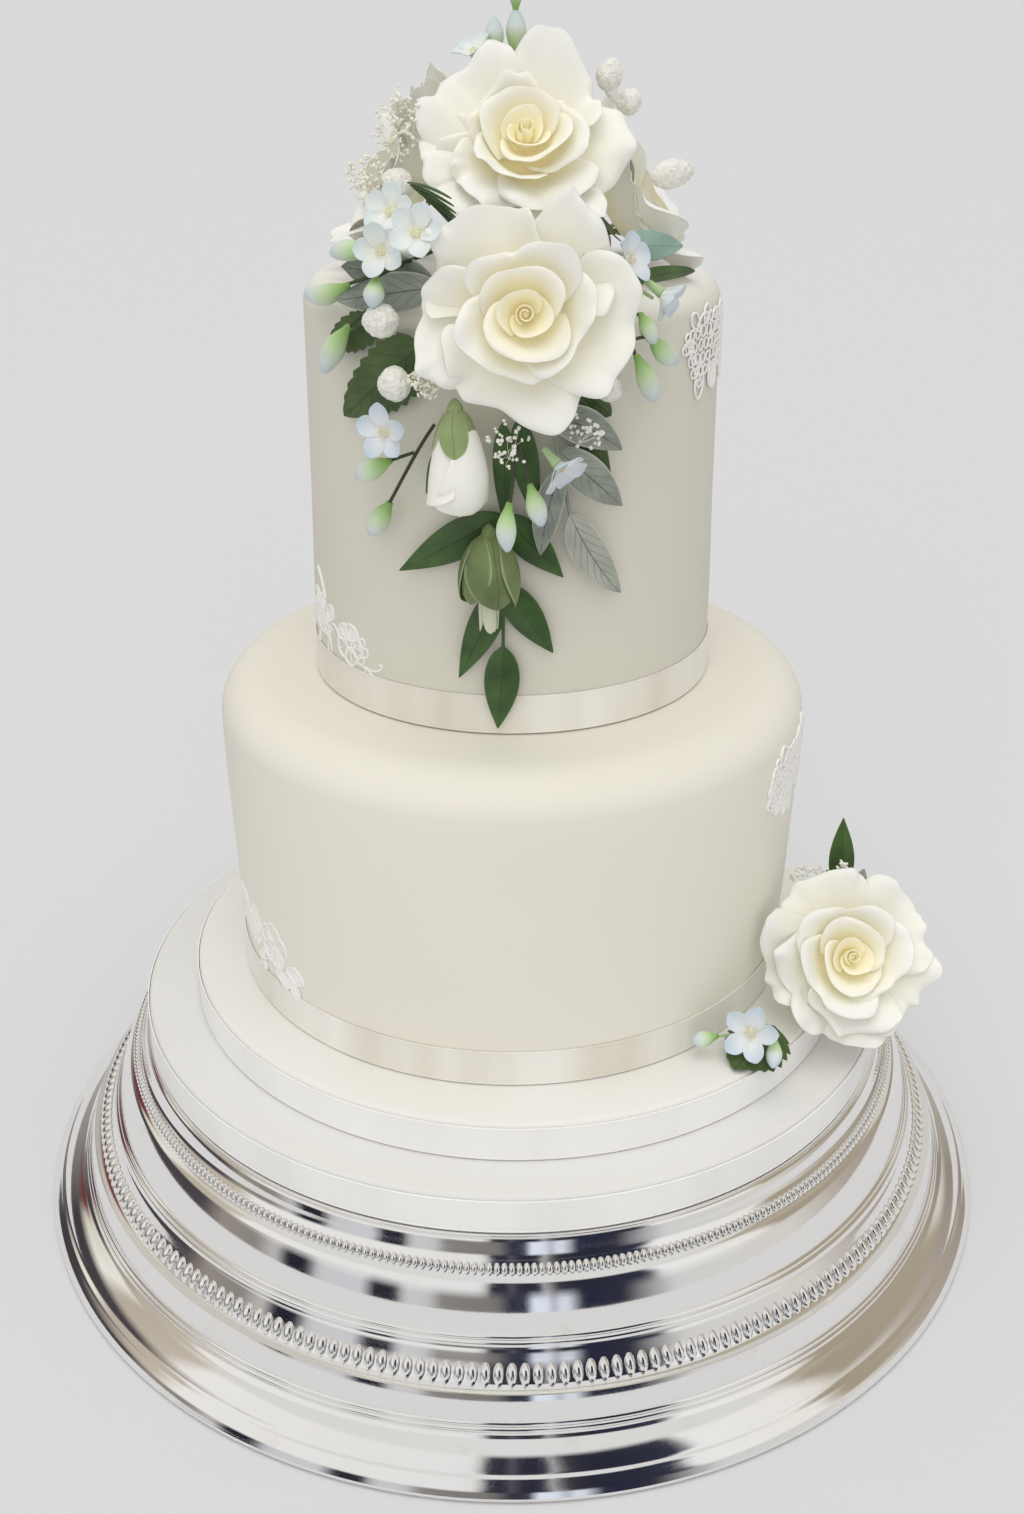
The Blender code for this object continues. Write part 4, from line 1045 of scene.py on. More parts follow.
def makeLeaves(dark, rose, grey, pale, teal):
    rng = random.Random(11)
    stem = tube([around(-2.0, 0.0820, -0.060), around(-2.0, 0.0815, -0.090), around(-2.2, 0.0812, -0.118)], 0.6 * mm)
    pairs = (
        ((-2.0, 0.0815, -0.0680), (-28.4, 0.0830, -0.0910), 13.5 * mm),
        ((-2.0, 0.0815, -0.0680), (12.5, 0.0820, -0.0910), 12.0 * mm),
        ((-2.2, 0.0812, -0.0930), (-13.4, 0.0815, -0.1290), 11.5 * mm),
        ((-2.2, 0.0812, -0.0930), (10.3, 0.0815, -0.1190), 12.0 * mm),
        ((-2.2, 0.0812, -0.1160), (-3.6, 0.0815, -0.1480), 12.5 * mm),
        ((1.5, 0.0845, -0.0340), (5.5, 0.0835, -0.0690), 9.0 * mm),
        ((-2.0, 0.0840, -0.0360), (-2.0, 0.0835, -0.0700), 7.5 * mm),
        ((-12.0, 0.0845, -0.0400), (-20.5, 0.0830, -0.0620), 8.0 * mm),
    )
    trail = [leafBetween("ruscus", *ends, rng) for ends in pairs]
    finishLeaves([stem, *trail], "dark_ruscus_trail", "ruscus_trail", "dark_leaf", dark)

    stem = tube([around(8.0, 0.0855, -0.030), around(11.0, 0.0850, -0.052), around(14.0, 0.0830, -0.070)], 0.7 * mm)
    pairs = (
        ((8.4, 0.0855, -0.0330), (25.0, 0.0870, -0.0465), 12.5 * mm),
        ((10.1, 0.0852, -0.0455), (26.0, 0.0855, -0.0665), 13.0 * mm),
        ((11.0, 0.0850, -0.0515), (6.5, 0.0855, -0.0815), 10.0 * mm),
        ((13.5, 0.0835, -0.0680), (27.4, 0.0830, -0.0990), 12.5 * mm),
    )
    leaves = [leafBetween("grey", *ends, rng) for ends in pairs]
    lowest = leaves.pop()
    finishLeaves([stem, *leaves], "dusty_leaves_right", "grey_leaves_right", "grey_leaf", grey)
    finishLeaves([lowest], "pale_leaf_lowest", None, None, pale)
    ridesAlong(lowest)

    ends = (((-17.0, 0.0800, 0.0060), (-51.0, 0.0740, 0.0075), 15.0 * mm), ((-17.0, 0.0800, 0.0060), (-44.0, 0.0840, -0.0010), 13.0 * mm))
    leaves = [leafBetween("grey", *pair, rng) for pair in ends]
    tie = tube([around(-13.0, 0.0800, 0.0070), around(-17.0, 0.0800, 0.0060), around(-22.0, 0.0800, 0.0055)], 0.7 * mm)
    finishLeaves([tie, *leaves], "dusty_leaves_left", "grey_leaves_left", "grey_leaf", grey)

    low = leafBetween("rose", (-21.0, 0.0830, -0.0120), (-45.5, 0.0812, -0.0405), 21.0 * mm, rng)
    finishLeaves([low], "serrated_leaf_low", "rose_leaf_left_low", "rose_leaf", rose)
    high = leafBetween("rose", (-33.0, 0.0815, -0.0060), (-52.0, 0.0800, -0.0180), 12.5 * mm, rng, {"teeth": 7})
    finishLeaves([high], "serrated_leaf_high", "rose_leaf_left_high", "rose_leaf", rose)
    first = leafBetween("rose", (12.0, 0.0805, -0.0230), (24.5, 0.0800, -0.0365), 14.0 * mm, rng, {"teeth": 6, "bite": 0.30})
    second = leafBetween("ruscus", (12.0, 0.0805, -0.0260), (25.3, 0.0795, -0.0590), 10.5 * mm, rng, {"fold": 0.05})
    finishLeaves([first, second], "deep_green_leaves", "dark_leaves_right", "rose_leaf", rose)
    blade = leafBetween("blade", (33.0, 0.0700, 0.0050), (66.0, 0.0700, 0.0035), 5.0 * mm, rng)
    finishLeaves([blade], "dark_blade_leaf", "long_leaf_right", "dark_leaf", dark)
    blades = []
    for shift in range(7):
        start = around(-27.0 + 0.8 * shift, 0.0740, 0.0365 - 0.0007 * shift)
        end = around(-12.5 + 0.5 * shift, 0.0860, 0.0335 - 0.0022 * shift)
        blades.append(makeLeaf("blade", start, end, 0.9 * mm, (0.0, -0.7, 0.7), rng, {"arch": 0.05 + 0.01 * shift}))
    grass = finishLeaves(blades, "thin_blades", None, None, dark)
    ridesAlong(grass)
    small = leafBetween("grey", (-17.0, 0.0840, 0.0235), (-23.5, 0.0880, 0.0205), 6.0 * mm, rng, {"wave": 0.02})
    ridesAlong(finishLeaves([small], "teal_leaf_small", None, None, teal))
    leaf = leafBetween("grey", (38.0, 0.0590, 0.0150), (58.0, 0.0690, 0.0130), 10.0 * mm, rng, {"wave": 0.02})
    finishLeaves([leaf], "teal_leaf", "teal_leaf_right", "teal_leaf", teal)
    print("leaves ready")


# ---- closed buds on wires


def alongProfile(stops, share):
    # a smooth curve through the stops
    for k in range(len(stops) - 1):
        (first, low), (second, high) = stops[k], stops[k + 1]
        if share > second:
            continue
        before, after = stops[max(k - 1, 0)], stops[min(k + 2, len(stops) - 1)]
        wide = second - first
        leave = wide * (high - before[1]) / (second - before[0])
        arrive = wide * (after[1] - low) / (after[0] - first)
        p = (share - first) / wide
        mixed = (2.0 * p ** 3 - 3.0 * p * p + 1.0) * low + (3.0 * p * p - 2.0 * p ** 3) * high
        return max(0.0, mixed + (p ** 3 - 2.0 * p * p + p) * leave + (p ** 3 - p * p) * arrive)
    return stops[-1][1]


budOutline = ((0.0, 0.0), (0.015, 0.24), (0.14, 0.40), (0.35, 0.78), (0.56, 1.0), (0.76, 0.84), (0.92, 0.46), (0.985, 0.18), (1.0, 0.0))


def makeBud(base, tip, radius, rng):
    length = (tip - base).length
    seams = rng.uniform(0.0, 2.0 * math.pi)
    lean = rng.uniform(-0.05, 0.05) * length

    def pointAt(share, turn):
        groove = 1.0 - 0.07 * abs(math.cos(1.5 * (turn + seams) + 1.2 * share)) ** 8
        out = 0.88 * radius * alongProfile(budOutline, share) * groove
        return Vector((out * math.cos(turn) + lean * math.sin(math.pi * share), out * math.sin(turn), length * share))

    made = shapedBall(18, 24, pointAt)
    paint(made, "along", lambda co: 0.07 + 0.93 * co.z / length)
    return place(made, spanning(base, tip, outwardAt(base)))


def makeStalk(points, radius=0.6 * mm):
    stalk = tube(points, radius)
    paint(stalk, "along", lambda co: 0.0)
    return stalk


def makeSprig(name, node, stem, buds, material, rng):
    # a wired stem and its buds, each with its root on the stem, its base, its tip and its radius
    pieces = [makeStalk([around(*spot) for spot in stem])]
    for root, base, tip, radius in buds:
        start, end = around(*base), around(*tip)
        if root is not None:
            pieces.append(makeStalk([around(*root), start, start.lerp(end, 0.12)]))
        pieces.append(makeBud(start, end, radius, rng))
    sprig = joinPieces(pieces, name)
    smooth(sprig, 60.0)
    giveMaterial(sprig, material)
    return standsFor(sprig, "filler_bud", node)


def makeBuds(material):
    rng = random.Random(23)
    sprigs = (
        ("buds_left", "bud_sprig_left", [(-19.0, 0.0740, 0.0165), (-26.0, 0.0800, 0.0120), (-31.5, 0.0810, 0.0110)], (
            ((-26.0, 0.0800, 0.0120), (-38.6, 0.0850, 0.0052), (-62.0, 0.0810, -0.0030), 4.2 * mm),
            ((-31.0, 0.0810, 0.0110), (-33.0, 0.0830, 0.0150), (-49.0, 0.0800, 0.0130), 4.1 * mm),
            ((-26.0, 0.0800, 0.0120), (-27.4, 0.0930, 0.0105), (-27.0, 0.0975, 0.0010), 3.9 * mm),
        )),
        ("single_bud_left", "bud_left", [(-33.0, 0.0860, -0.0020), (-37.2, 0.0880, -0.0071), (-40.0, 0.0880, -0.0120)], (
            (None, (-37.2, 0.0880, -0.0071), (-48.4, 0.0860, -0.0258), 4.5 * mm),
        )),
        ("buds_low", "bud_sprig_low", [
            (-17.5, 0.0850, -0.0375), (-22.0, 0.0870, -0.0470), (-27.0, 0.0870, -0.0620), (-29.5, 0.0870, -0.0675),
        ], (
            ((-22.0, 0.0870, -0.0470), (-26.5, 0.0900, -0.0495), (-37.5, 0.0880, -0.0586), 4.3 * mm),
            (None, (-28.3, 0.0870, -0.0650), (-35.6, 0.0850, -0.0793), 4.5 * mm),
        )),
        ("buds_front", "bud_pair_front", [(1.0, 0.0965, -0.0380), (0.5, 0.0990, -0.0480), (-0.4, 0.1010, -0.0590)], (
            (None, (-0.4, 0.1005, -0.0575), (-0.9, 0.1015, -0.0750), 3.9 * mm),
            ((1.0, 0.0965, -0.0380), (3.2, 0.1010, -0.0515), (5.6, 0.1010, -0.0665), 3.9 * mm),
        )),
        ("buds_right", "bud_sprig_right", [(23.0, 0.0840, -0.0030), (25.5, 0.0900, -0.0100), (26.4, 0.0905, -0.0160)], (
            (None, (26.0, 0.0910, -0.0143), (32.7, 0.0880, -0.0318), 4.1 * mm),
            ((25.5, 0.0900, -0.0100), (29.3, 0.0905, -0.0087), (40.0, 0.0860, -0.0204), 4.0 * mm),
            ((23.0, 0.0840, -0.0030), (27.2, 0.0895, -0.0015), (31.0, 0.0905, -0.0120), 3.4 * mm),
        )),
        ("buds_top", "bud_sprig_top", [
            (170.0, 0.0060, 0.0040), (172.0, 0.0100, 0.0400), (176.0, 0.0180, 0.0680), (176.0, 0.0185, 0.0880),
        ], (
            (None, (176.0, 0.0182, 0.0690), (176.0, 0.0186, 0.0860), 4.2 * mm),
            (None, (176.0, 0.0186, 0.0845), (174.0, 0.0190, 0.0985), 3.6 * mm),
            ((172.0, 0.0100, 0.0400), (-162.0, 0.0178, 0.0690), (-159.0, 0.0183, 0.0835), 3.9 * mm),
        )),
    )
    for name, node, stem, buds in sprigs:
        makeSprig(name, node, stem, buds, material, rng)
    print("buds ready")


# ---- five-petalled blossoms


def blossomPetal(radius, azimuth, petal, rng):
    # petal: width share, cup, how far it opens, point of its tip
    twist = rng.uniform(-0.10, 0.10)
    curl = rng.uniform(0.8, 1.2)
    width, cup, opened, point = petal

    def pointAt(u, v):
        half = radius * width * (math.sin(math.pi * (0.07 + 0.93 * v ** 1.3)) ** 0.62 if v < 1.0 else 0.0)
        half += 0.03 * radius
        reach = radius * (0.05 + (0.90 + point) * v)
        rise = radius * (-0.22 + (0.50 * v ** 0.7) * curl) + radius * (1.0 - opened) * v * 0.9
        rise += cup * half * u * u + twist * half * u
        reach *= opened
        side = half * u
        return Vector((
            reach * math.cos(azimuth) - side * math.sin(azimuth),
            reach * math.sin(azimuth) + side * math.cos(azimuth),
            rise,
        ))

    return shapedSheet(7, 8, pointAt, 0.30 * mm)


def makeBlossom(point, direction, roll, radius, rng, petal=(0.40, 0.35, 1.0, 0.10)):
    pieces = [blossomPetal(radius, math.radians(72.0 * k + rng.uniform(-7.0, 7.0)), petal, rng) for k in range(5)]
    neck = tube([(0.0, 0.0, -0.95 * radius), (0.0, 0.0, -0.6 * radius), (0.0, 0.0, -0.16 * radius)], 0.2 * radius, 3, (0.6, 0.8, 1.1))
    heart = shapedBall(10, 8, lambda share, turn: Vector((
        0.20 * radius * math.sin(math.pi * share) * math.cos(turn),
        0.20 * radius * math.sin(math.pi * share) * math.sin(turn),
        radius * (-0.22 + 0.26 * share),
    )))
    for piece in pieces:
        paint(piece, "along", lambda co: 0.15 + 0.85 * min(1.0, math.hypot(co.x, co.y) / radius))
    paint(neck, "along", lambda co: 0.0)
    paint(heart, "along", lambda co: 0.16)
    pieces += [neck, heart]
    for k in range(7):
        turn = 2.0 * math.pi * k / 7.0 + rng.uniform(-0.3, 0.3)
        reach = 0.14 * radius * rng.uniform(0.7, 1.3)
        deselectAll()
        bpy.ops.mesh.primitive_ico_sphere_add(subdivisions=1, radius=0.05 * radius)
        head = bpy.context.active_object
        head.data.transform(Matrix.Translation((reach * math.cos(turn), reach * math.sin(turn), 0.10 * radius)))
        paint(head, "along", lambda co: 0.12)
        pieces.append(head)
    return place(joinPieces(pieces, "blossom"), facing(point, direction, roll))


def finishBlossoms(pieces, name, node, material):
    made = joinPieces(pieces, name)
    smooth(made, 60.0)
    giveMaterial(made, material)
    return standsFor(made, "blue_blossom", node)


def makeBlossoms(green, blue):
    rng = random.Random(37)
    usual = 8.5 * mm
    spread = (0.40, 0.28, 1.0, 0.08)
    first = makeBlossom(around(-26.5, 0.0860, 0.0290), (-0.35, -0.80, 0.48), 10.0, usual, rng, spread)
    second = makeBlossom(around(-26.4, 0.0930, 0.0180), (-0.25, -0.93, 0.20), 40.0, usual, rng, spread)
    tie = makeStalk([
        around(-24.0, 0.0780, 0.0260), around(-26.0, 0.0840, 0.0225), around(-26.3, 0.0910, 0.0180), around(-26.3, 0.0850, 0.0275),
    ])
    finishBlossoms([first, second, tie], "blossoms_left", "blossom_pair_left", green)
    third = makeBlossom(around(-17.0, 0.1005, 0.0252), (-0.10, -0.90, 0.42), 0.0, usual, rng, spread)
    finishBlossoms([third], "blossom_beside_rose", "blossom_left", green)
    low = makeBlossom(around(-26.0, 0.0960, -0.0387), (-0.45, -0.86, 0.10), 20.0, 9.0 * mm, rng, (0.38, 0.35, 1.0, 0.14))
    finishBlossoms([low], "blossom_low", "blossom_low_left", blue)
    bell = makeBlossom(around(8.6, 0.1040, -0.0462), (0.60, -0.52, -0.60), 15.0, 9.0 * mm, rng, (0.40, 0.45, 0.92, 0.12))
    finishBlossoms([bell], "blossom_under_rose", "blossom_low_right", blue)
    first = makeBlossom(around(33.0, 0.0905, 0.0030), (0.72, -0.36, -0.50), 30.0, usual, rng, (0.38, 0.45, 0.84, 0.12))
    second = makeBlossom(around(26.4, 0.0850, 0.0145), (0.74, -0.58, 0.34), 5.0, usual, rng, (0.42, 0.30, 1.0, 0.06))
    tie = makeStalk([around(31.5, 0.0870, 0.0020), around(29.0, 0.0740, 0.0060), around(27.9, 0.0800, 0.0135)])
    finishBlossoms([first, second, tie], "blossoms_right", "blossom_pair_right", blue)
    top = makeBlossom(around(-131.0, 0.0180, 0.0725), (-0.30, -0.30, 0.90), 12.0, 7.5 * mm, rng)
    finishBlossoms([top], "blossom_high", "blossom_top", green)
    print("blossoms ready")


# ---- sugared berries and gypsophila


def makeBerry(base, tip, radius, rng):
    length = (tip - base).length
    own = rng.uniform(0.0, 90.0)

    def pointAt(share, turn):
        out = radius * math.sin(math.pi * share ** 0.88) ** 0.62 if 0.0 < share < 1.0 else 0.0
        spot = Vector((out * math.cos(turn), out * math.sin(turn), length * share))
        centre = Vector((0.0, 0.0, 0.5 * length))
        crust = clouds.noise(spot * 520.0 + Vector((own, 0.0, 0.0))) + 0.8 * clouds.noise(spot * 1150.0 + Vector((own, 0.0, 0.0)))
        return centre + (spot - centre) * (1.0 + 0.06 * crust)

    berry = shapedBall(64, 48, pointAt)
    return place(berry, spanning(base, tip, outwardAt(base)))


def makeBerries(material):
    rng = random.Random(41)
    singles = (
        ("sugared_berry_high", "berry_upper_left", (-36.0, 0.0560, 0.0310), (-42.0, 0.0640, 0.0370), 5.2 * mm),
        ("sugared_berry_middle", "berry_middle_left", (-23.0, 0.0925, -0.0030), (-30.5, 0.0950, -0.0040), 5.4 * mm),
        ("sugared_berry_low", "berry_lower_left", (-20.5, 0.0935, -0.0220), (-27.0, 0.0960, -0.0240), 5.7 * mm),
        ("sugared_berry_right", "berry_lower_right", (20.0, 0.0850, -0.0240), (24.0, 0.0870, -0.0290), 4.2 * mm),
        ("sugared_berry_long", "berry_right_long", (54.0, 0.0580, 0.0345), (66.0, 0.0680, 0.0370), 4.8 * mm),
    )
    for name, node, base, tip, radius in singles:
        berry = makeBerry(around(*base), around(*tip), radius, rng)
        smooth(berry, 80.0)
        giveMaterial(berry, material)
        standsFor(berry, "white_berry", node)
    first = makeBerry(around(58.0, 0.0370, 0.0610), around(59.5, 0.0400, 0.0715), 4.5 * mm, rng)
    second = makeBerry(around(70.0, 0.0390, 0.0545), around(78.0, 0.0450, 0.0600), 4.3 * mm, rng)
    tie = tube([around(58.5, 0.0380, 0.0640), around(60.0, 0.0345, 0.0590), around(72.0, 0.0410, 0.0560)], 0.6 * mm)
    pair = joinPieces([first, second, tie], "sugared_berries_top")
    smooth(pair, 80.0)
    giveMaterial(pair, material)
    standsFor(pair, "white_berry", "berry_pair_right")
    print("berries ready")


def gypsophilaHeads(point, reach, heads, hair, rng):
    # heads on hair-thin stems that fan out of one root; reach is the cluster's size along the three axes
    root = point + outwardAt(point) * -0.8 * reach[1] - Vector((0.0, 0.0, 0.6 * reach[2]))
    deselectAll()
    bpy.ops.mesh.primitive_ico_sphere_add(subdivisions=1, radius=1.0)
    pieces = [bpy.context.active_object]
    stems = []

    def anywhere():
        return Vector((rng.uniform(-1.0, 1.0), rng.uniform(-1.0, 1.0), rng.uniform(-1.0, 1.0)))

    for k in range(heads):
        spot = anywhere()
        while not 0.25 < spot.length < 1.0:
            spot = anywhere()
        middle = point + Vector((spot.x * reach[0], spot.y * reach[1], spot.z * reach[2]))
        size = rng.uniform(0.45, 0.80) * mm
        for bit in range(rng.choice((1, 2, 3, 3))):
            head = bpy.data.objects.new("head", pieces[0].data.copy())
            bpy.context.scene.collection.objects.link(head)
            squash = Matrix.Diagonal((size, size, size * rng.uniform(0.7, 1.2), 1.0))
            head.data.transform(Matrix.Translation(middle + anywhere() * size * 1.2) @ squash)
            pieces.append(head)
        if k % 3 == 0:
            stems.append(([root, root.lerp(middle, 0.5) + anywhere() * 0.25 * max(reach), middle], None))
    pieces[0].data.transform(Matrix.Translation(root) @ Matrix.Scale(0.5 * mm, 4))
    return [*pieces, tubes(stems, hair, 0)]


def makeGypsophila(name, node, groups, hair, material, seed):
    rng = random.Random(seed)
    pieces = []
    for point, reach, heads in groups:
        pieces += gypsophilaHeads(point, [size * mm for size in reach], heads, hair * mm, rng)
    cluster = joinPieces(pieces, name)
    smooth(cluster, 180.0)
    giveMaterial(cluster, material)
    return standsFor(cluster, "gypsophila", node)


def makeClusters(cream, white):
    clusters = (
        ("cream_gypsophila_high", "gypsophila_upper_left", (
            (around(-41.0, 0.0570, 0.0520), (8.5, 5.0, 11.5), 84), (around(-46.0, 0.0660, 0.0360), (7.5, 4.5, 8.0), 56),
        ), 0.10, cream, 51),
        ("cream_gypsophila_low", "gypsophila_lower_left", ((around(-16.5, 0.0950, -0.0200), (6.0, 4.0, 7.6), 80),), 0.10, cream, 52),
        ("white_gypsophila_front", "gypsophila_front", (
            (around(-0.5, 0.0985, -0.0400), (8.0, 2.6, 8.0), 22), (around(13.5, 0.0965, -0.0370), (8.0, 2.6, 6.0), 24),
        ), 0.08, white, 53),
        ("white_gypsophila_side", "gypsophila_side", (
            (Vector((0.1215, -0.0370, 0.1540)), (8.8, 6.0, 9.0), 84), (Vector((0.1345, -0.0400, 0.1620)), (3.6, 2.0, 4.6), 26),
        ), 0.10, white, 54),
    )
    for cluster in clusters:
        makeGypsophila(*cluster)
    print("gypsophila ready")


# ---- the half-open rosebud, the closed green one, the stems and the flowers on the board


def makeSepal(azimuth, half, reach, height, length, bend, outline, wall=0.4):
    # a pointed sheet wrapped round a bud; outline gives the root and tip powers of its width
    base = math.radians(azimuth)
    rootPower, endPower = outline
    peak = rootPower / (rootPower + endPower)
    fullest = peak ** rootPower * (1.0 - peak) ** endPower

    def pointAt(u, v):
        wide = math.radians(half) * (max(v, 0.0) ** rootPower * max(1.0 - v, 0.0) ** endPower / fullest + 0.02)
        out, up = reach, height
        steps = 12
        for k in range(steps):
            angle = math.radians(blend3(*bend, v * (k + 0.5) / steps))
            out += math.sin(angle) * v * length / steps
            up += math.cos(angle) * v * length / steps
        turn = base + wide * u + 0.05 * math.sin(5.0 * v)
        out += 0.2 * abs(u) ** 3 * v
        return Vector((out * math.cos(turn), out * math.sin(turn), up)) * mm

    return shapedSheet(10, 14, pointAt, wall * mm)


budStops = ((0.0, 0.0), (0.05, 0.30), (0.20, 0.66), (0.42, 0.90), (0.64, 1.0), (0.82, 0.86), (0.93, 0.60), (1.0, 0.0))
budSize = {"girth": 8.3, "length": 35.5, "from": 0.5}


def budBody():
    def pointAt(share, turn):
        out = budSize["girth"] * alongProfile(budStops, share)
        return Vector((out * math.cos(turn), out * math.sin(turn), budSize["from"] + budSize["length"] * share)) * mm

    return shapedBall(32, 28, pointAt)


def wrappedPetal(azimuth, half, reach, lift, flare, slant):
    # a petal that lies round the bud and stands off it a little at the rim
    base = math.radians(azimuth)

    def pointAt(u, v):
        share = 0.06 + (reach - 0.08) * v * (1.0 - 0.10 * abs(u) ** 4)
        out = budSize["girth"] * max(0.28, alongProfile(budStops, share)) + lift * (0.1 + 0.9 * v ** 0.7) + 0.5 * u * v
        out += flare * v ** 5 + 0.35 * math.sin(3.0 * u + base) * v ** 3
        turn = base + math.radians(half) * u * (0.55 + 0.45 * min(1.0, 2.2 * v)) + slant * v * v
        height = budSize["from"] + budSize["length"] * share - 0.35 * flare * v ** 6
        return Vector((out * math.cos(turn), out * math.sin(turn), height)) * mm

    return shapedSheet(30, 18, pointAt, 0.45 * mm, 1, 0.5)


def makeRosebuds(petalMaterial, greenMaterial, palerGreen, creamGreen):
    rng = random.Random(61)
    root, tip = around(-11.5, 0.0925, -0.0290), around(-10.0, 0.0980, -0.0650)
    where = spanning(root, tip, outwardAt(root))
    shell = {"reach": 1.0, "height": 2.0, "roll": 42.0, "rollWidth": 2.0, "ruffle": 0.8, "corner": 0.38, "spiral": 1.9}
    petals = [budBody()]
    for azimuth, half, reach, lift, flare, slant in (
        (-14.0, 92.0, 1.00, 2.0, 0.8, 1.0), (158.0, 80.0, 0.93, 0.8, 4.2, 0.10), (268.0, 84.0, 0.97, 0.9, 0.8, 0.0),
        (100.0, 84.0, 0.98, 0.2, 0.2, 0.25),
    ):
        petals.append(wrappedPetal(azimuth, half, reach, lift, flare, slant))
    bloom = joinPieces(petals, "half_open_rosebud")
    # a cream heart tint that is partly painted shade, and no painted shade in the hollows
    paint(bloom, "heart", lambda co: 0.22 + 0.4 * max(0.0, 1.0 - math.hypot(co.x, co.y) / (9.0 * mm)))
    paint(bloom, "hollowShade", lambda co: 0.0)
    paint(bloom, "greenish", lambda co: max(0.0, min(1.0, (16.0 * mm - co.z) / (13.0 * mm))))
    place(bloom, where)
    smooth(bloom, 180.0)
    giveMaterial(bloom, petalMaterial)
    standsFor(bloom, "rose_petal", "rosebud_white")

    def hip(share, turn):
        girth = 2.7 * math.sin(math.pi * share) ** 0.7
        return Vector((girth * math.cos(turn), girth * math.sin(turn), -2.5 + 8.0 * share)) * mm

    pieces = [shapedBall(14, 10, hip)]
    for azimuth, half, length in ((84.0, 46.0, 17.5), (160.0, 34.0, 15.0), (232.0, 34.0, 15.0), (304.0, 34.0, 15.0), (12.0, 34.0, 13.5)):
        pieces.append(makeSepal(azimuth, half, 1.9, 1.0, length, (54.0, 10.0, 12.0), (0.25, 0.60)))
    finishLeaves([place(piece, where) for piece in pieces], "half_open_rosebud_sepals", None, None, palerGreen)
    sepals = bpy.context.active_object
    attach(sepals, "root")

    root, tip = around(-4.8, 0.0920, -0.0705), around(-5.0, 0.0915, -0.1060)
    where = spanning(root, tip, outwardAt(root))
    pieces = [shapedBall(14, 10, hip)]
    for azimuth, half, length, out in ((66.0, 76.0, 28.0, 1.4), (138.0, 62.0, 26.5, 1.7), (205.0, 62.0, 29.5, 1.5), (275.0, 62.0, 26.5, 1.7), (350.0, 66.0, 30.5, 1.5)):
        pieces.append(makeSepal(azimuth, half, out, 1.0, length, (62.0, 6.0, -22.0), (0.45, 0.60), 0.25))
    green = joinPieces([place(piece, where) for piece in pieces], "closed_rosebud_sepals")
    smooth(green, 60.0)
    giveMaterial(green, greenMaterial)
    standsFor(green, "green_sepal", "rosebud_green")

    tips = []
    for azimuth, half, length in ((70.0, 70.0, 30.0), (190.0, 70.0, 30.5), (310.0, 70.0, 30.0)):
        changes = dict(shell, reach=0.4, height=5.0, half=half, length=length, bend=(22.0, -4.0, -3.0), tip=0.0, roll=0.0, ruffle=0.2, spiral=0.5)
        tips.append(makePetal("cup", azimuth, mm, rng, changes))
    inner = joinPieces([place(piece, where) for piece in tips], "closed_rosebud_tip")
    smooth(inner, 180.0)
    giveMaterial(inner, creamGreen)
    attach(inner, "root")
    print("rosebuds ready")


def makeStems(dark):
    rng = random.Random(71)
    pieces = [tube([around(0.0, 0.0, 0.0008), around(0.0, 0.0005, 0.0150), around(0.0, 0.0010, 0.0280)], 4.5 * mm, 5)]
    for angle, reach, height, tipReach, tipHeight in (
        (-125.0, 0.040, 0.010, 0.078, 0.0080),
        (125.0, 0.040, 0.010, 0.078, 0.0080),
        (-152.0, 0.044, 0.007, 0.086, -0.0050),
        (152.0, 0.044, 0.007, 0.086, -0.0050),
    ):
        start, end = around(angle, reach, height), around(angle, tipReach, tipHeight)
        pieces.append(tube([around(angle, 0.002, 0.0060), start, start.lerp(end, 0.3)], 1.1 * mm))
        pieces.append(makeLeaf("ruscus", start, end, 15.0 * mm, (0.0, 0.3, 0.95), rng, {"arch": 0.12}))
    finishLeaves(pieces, "taped_stems", "spray_stems", "dark_leaf", dark)
    print("stems ready")


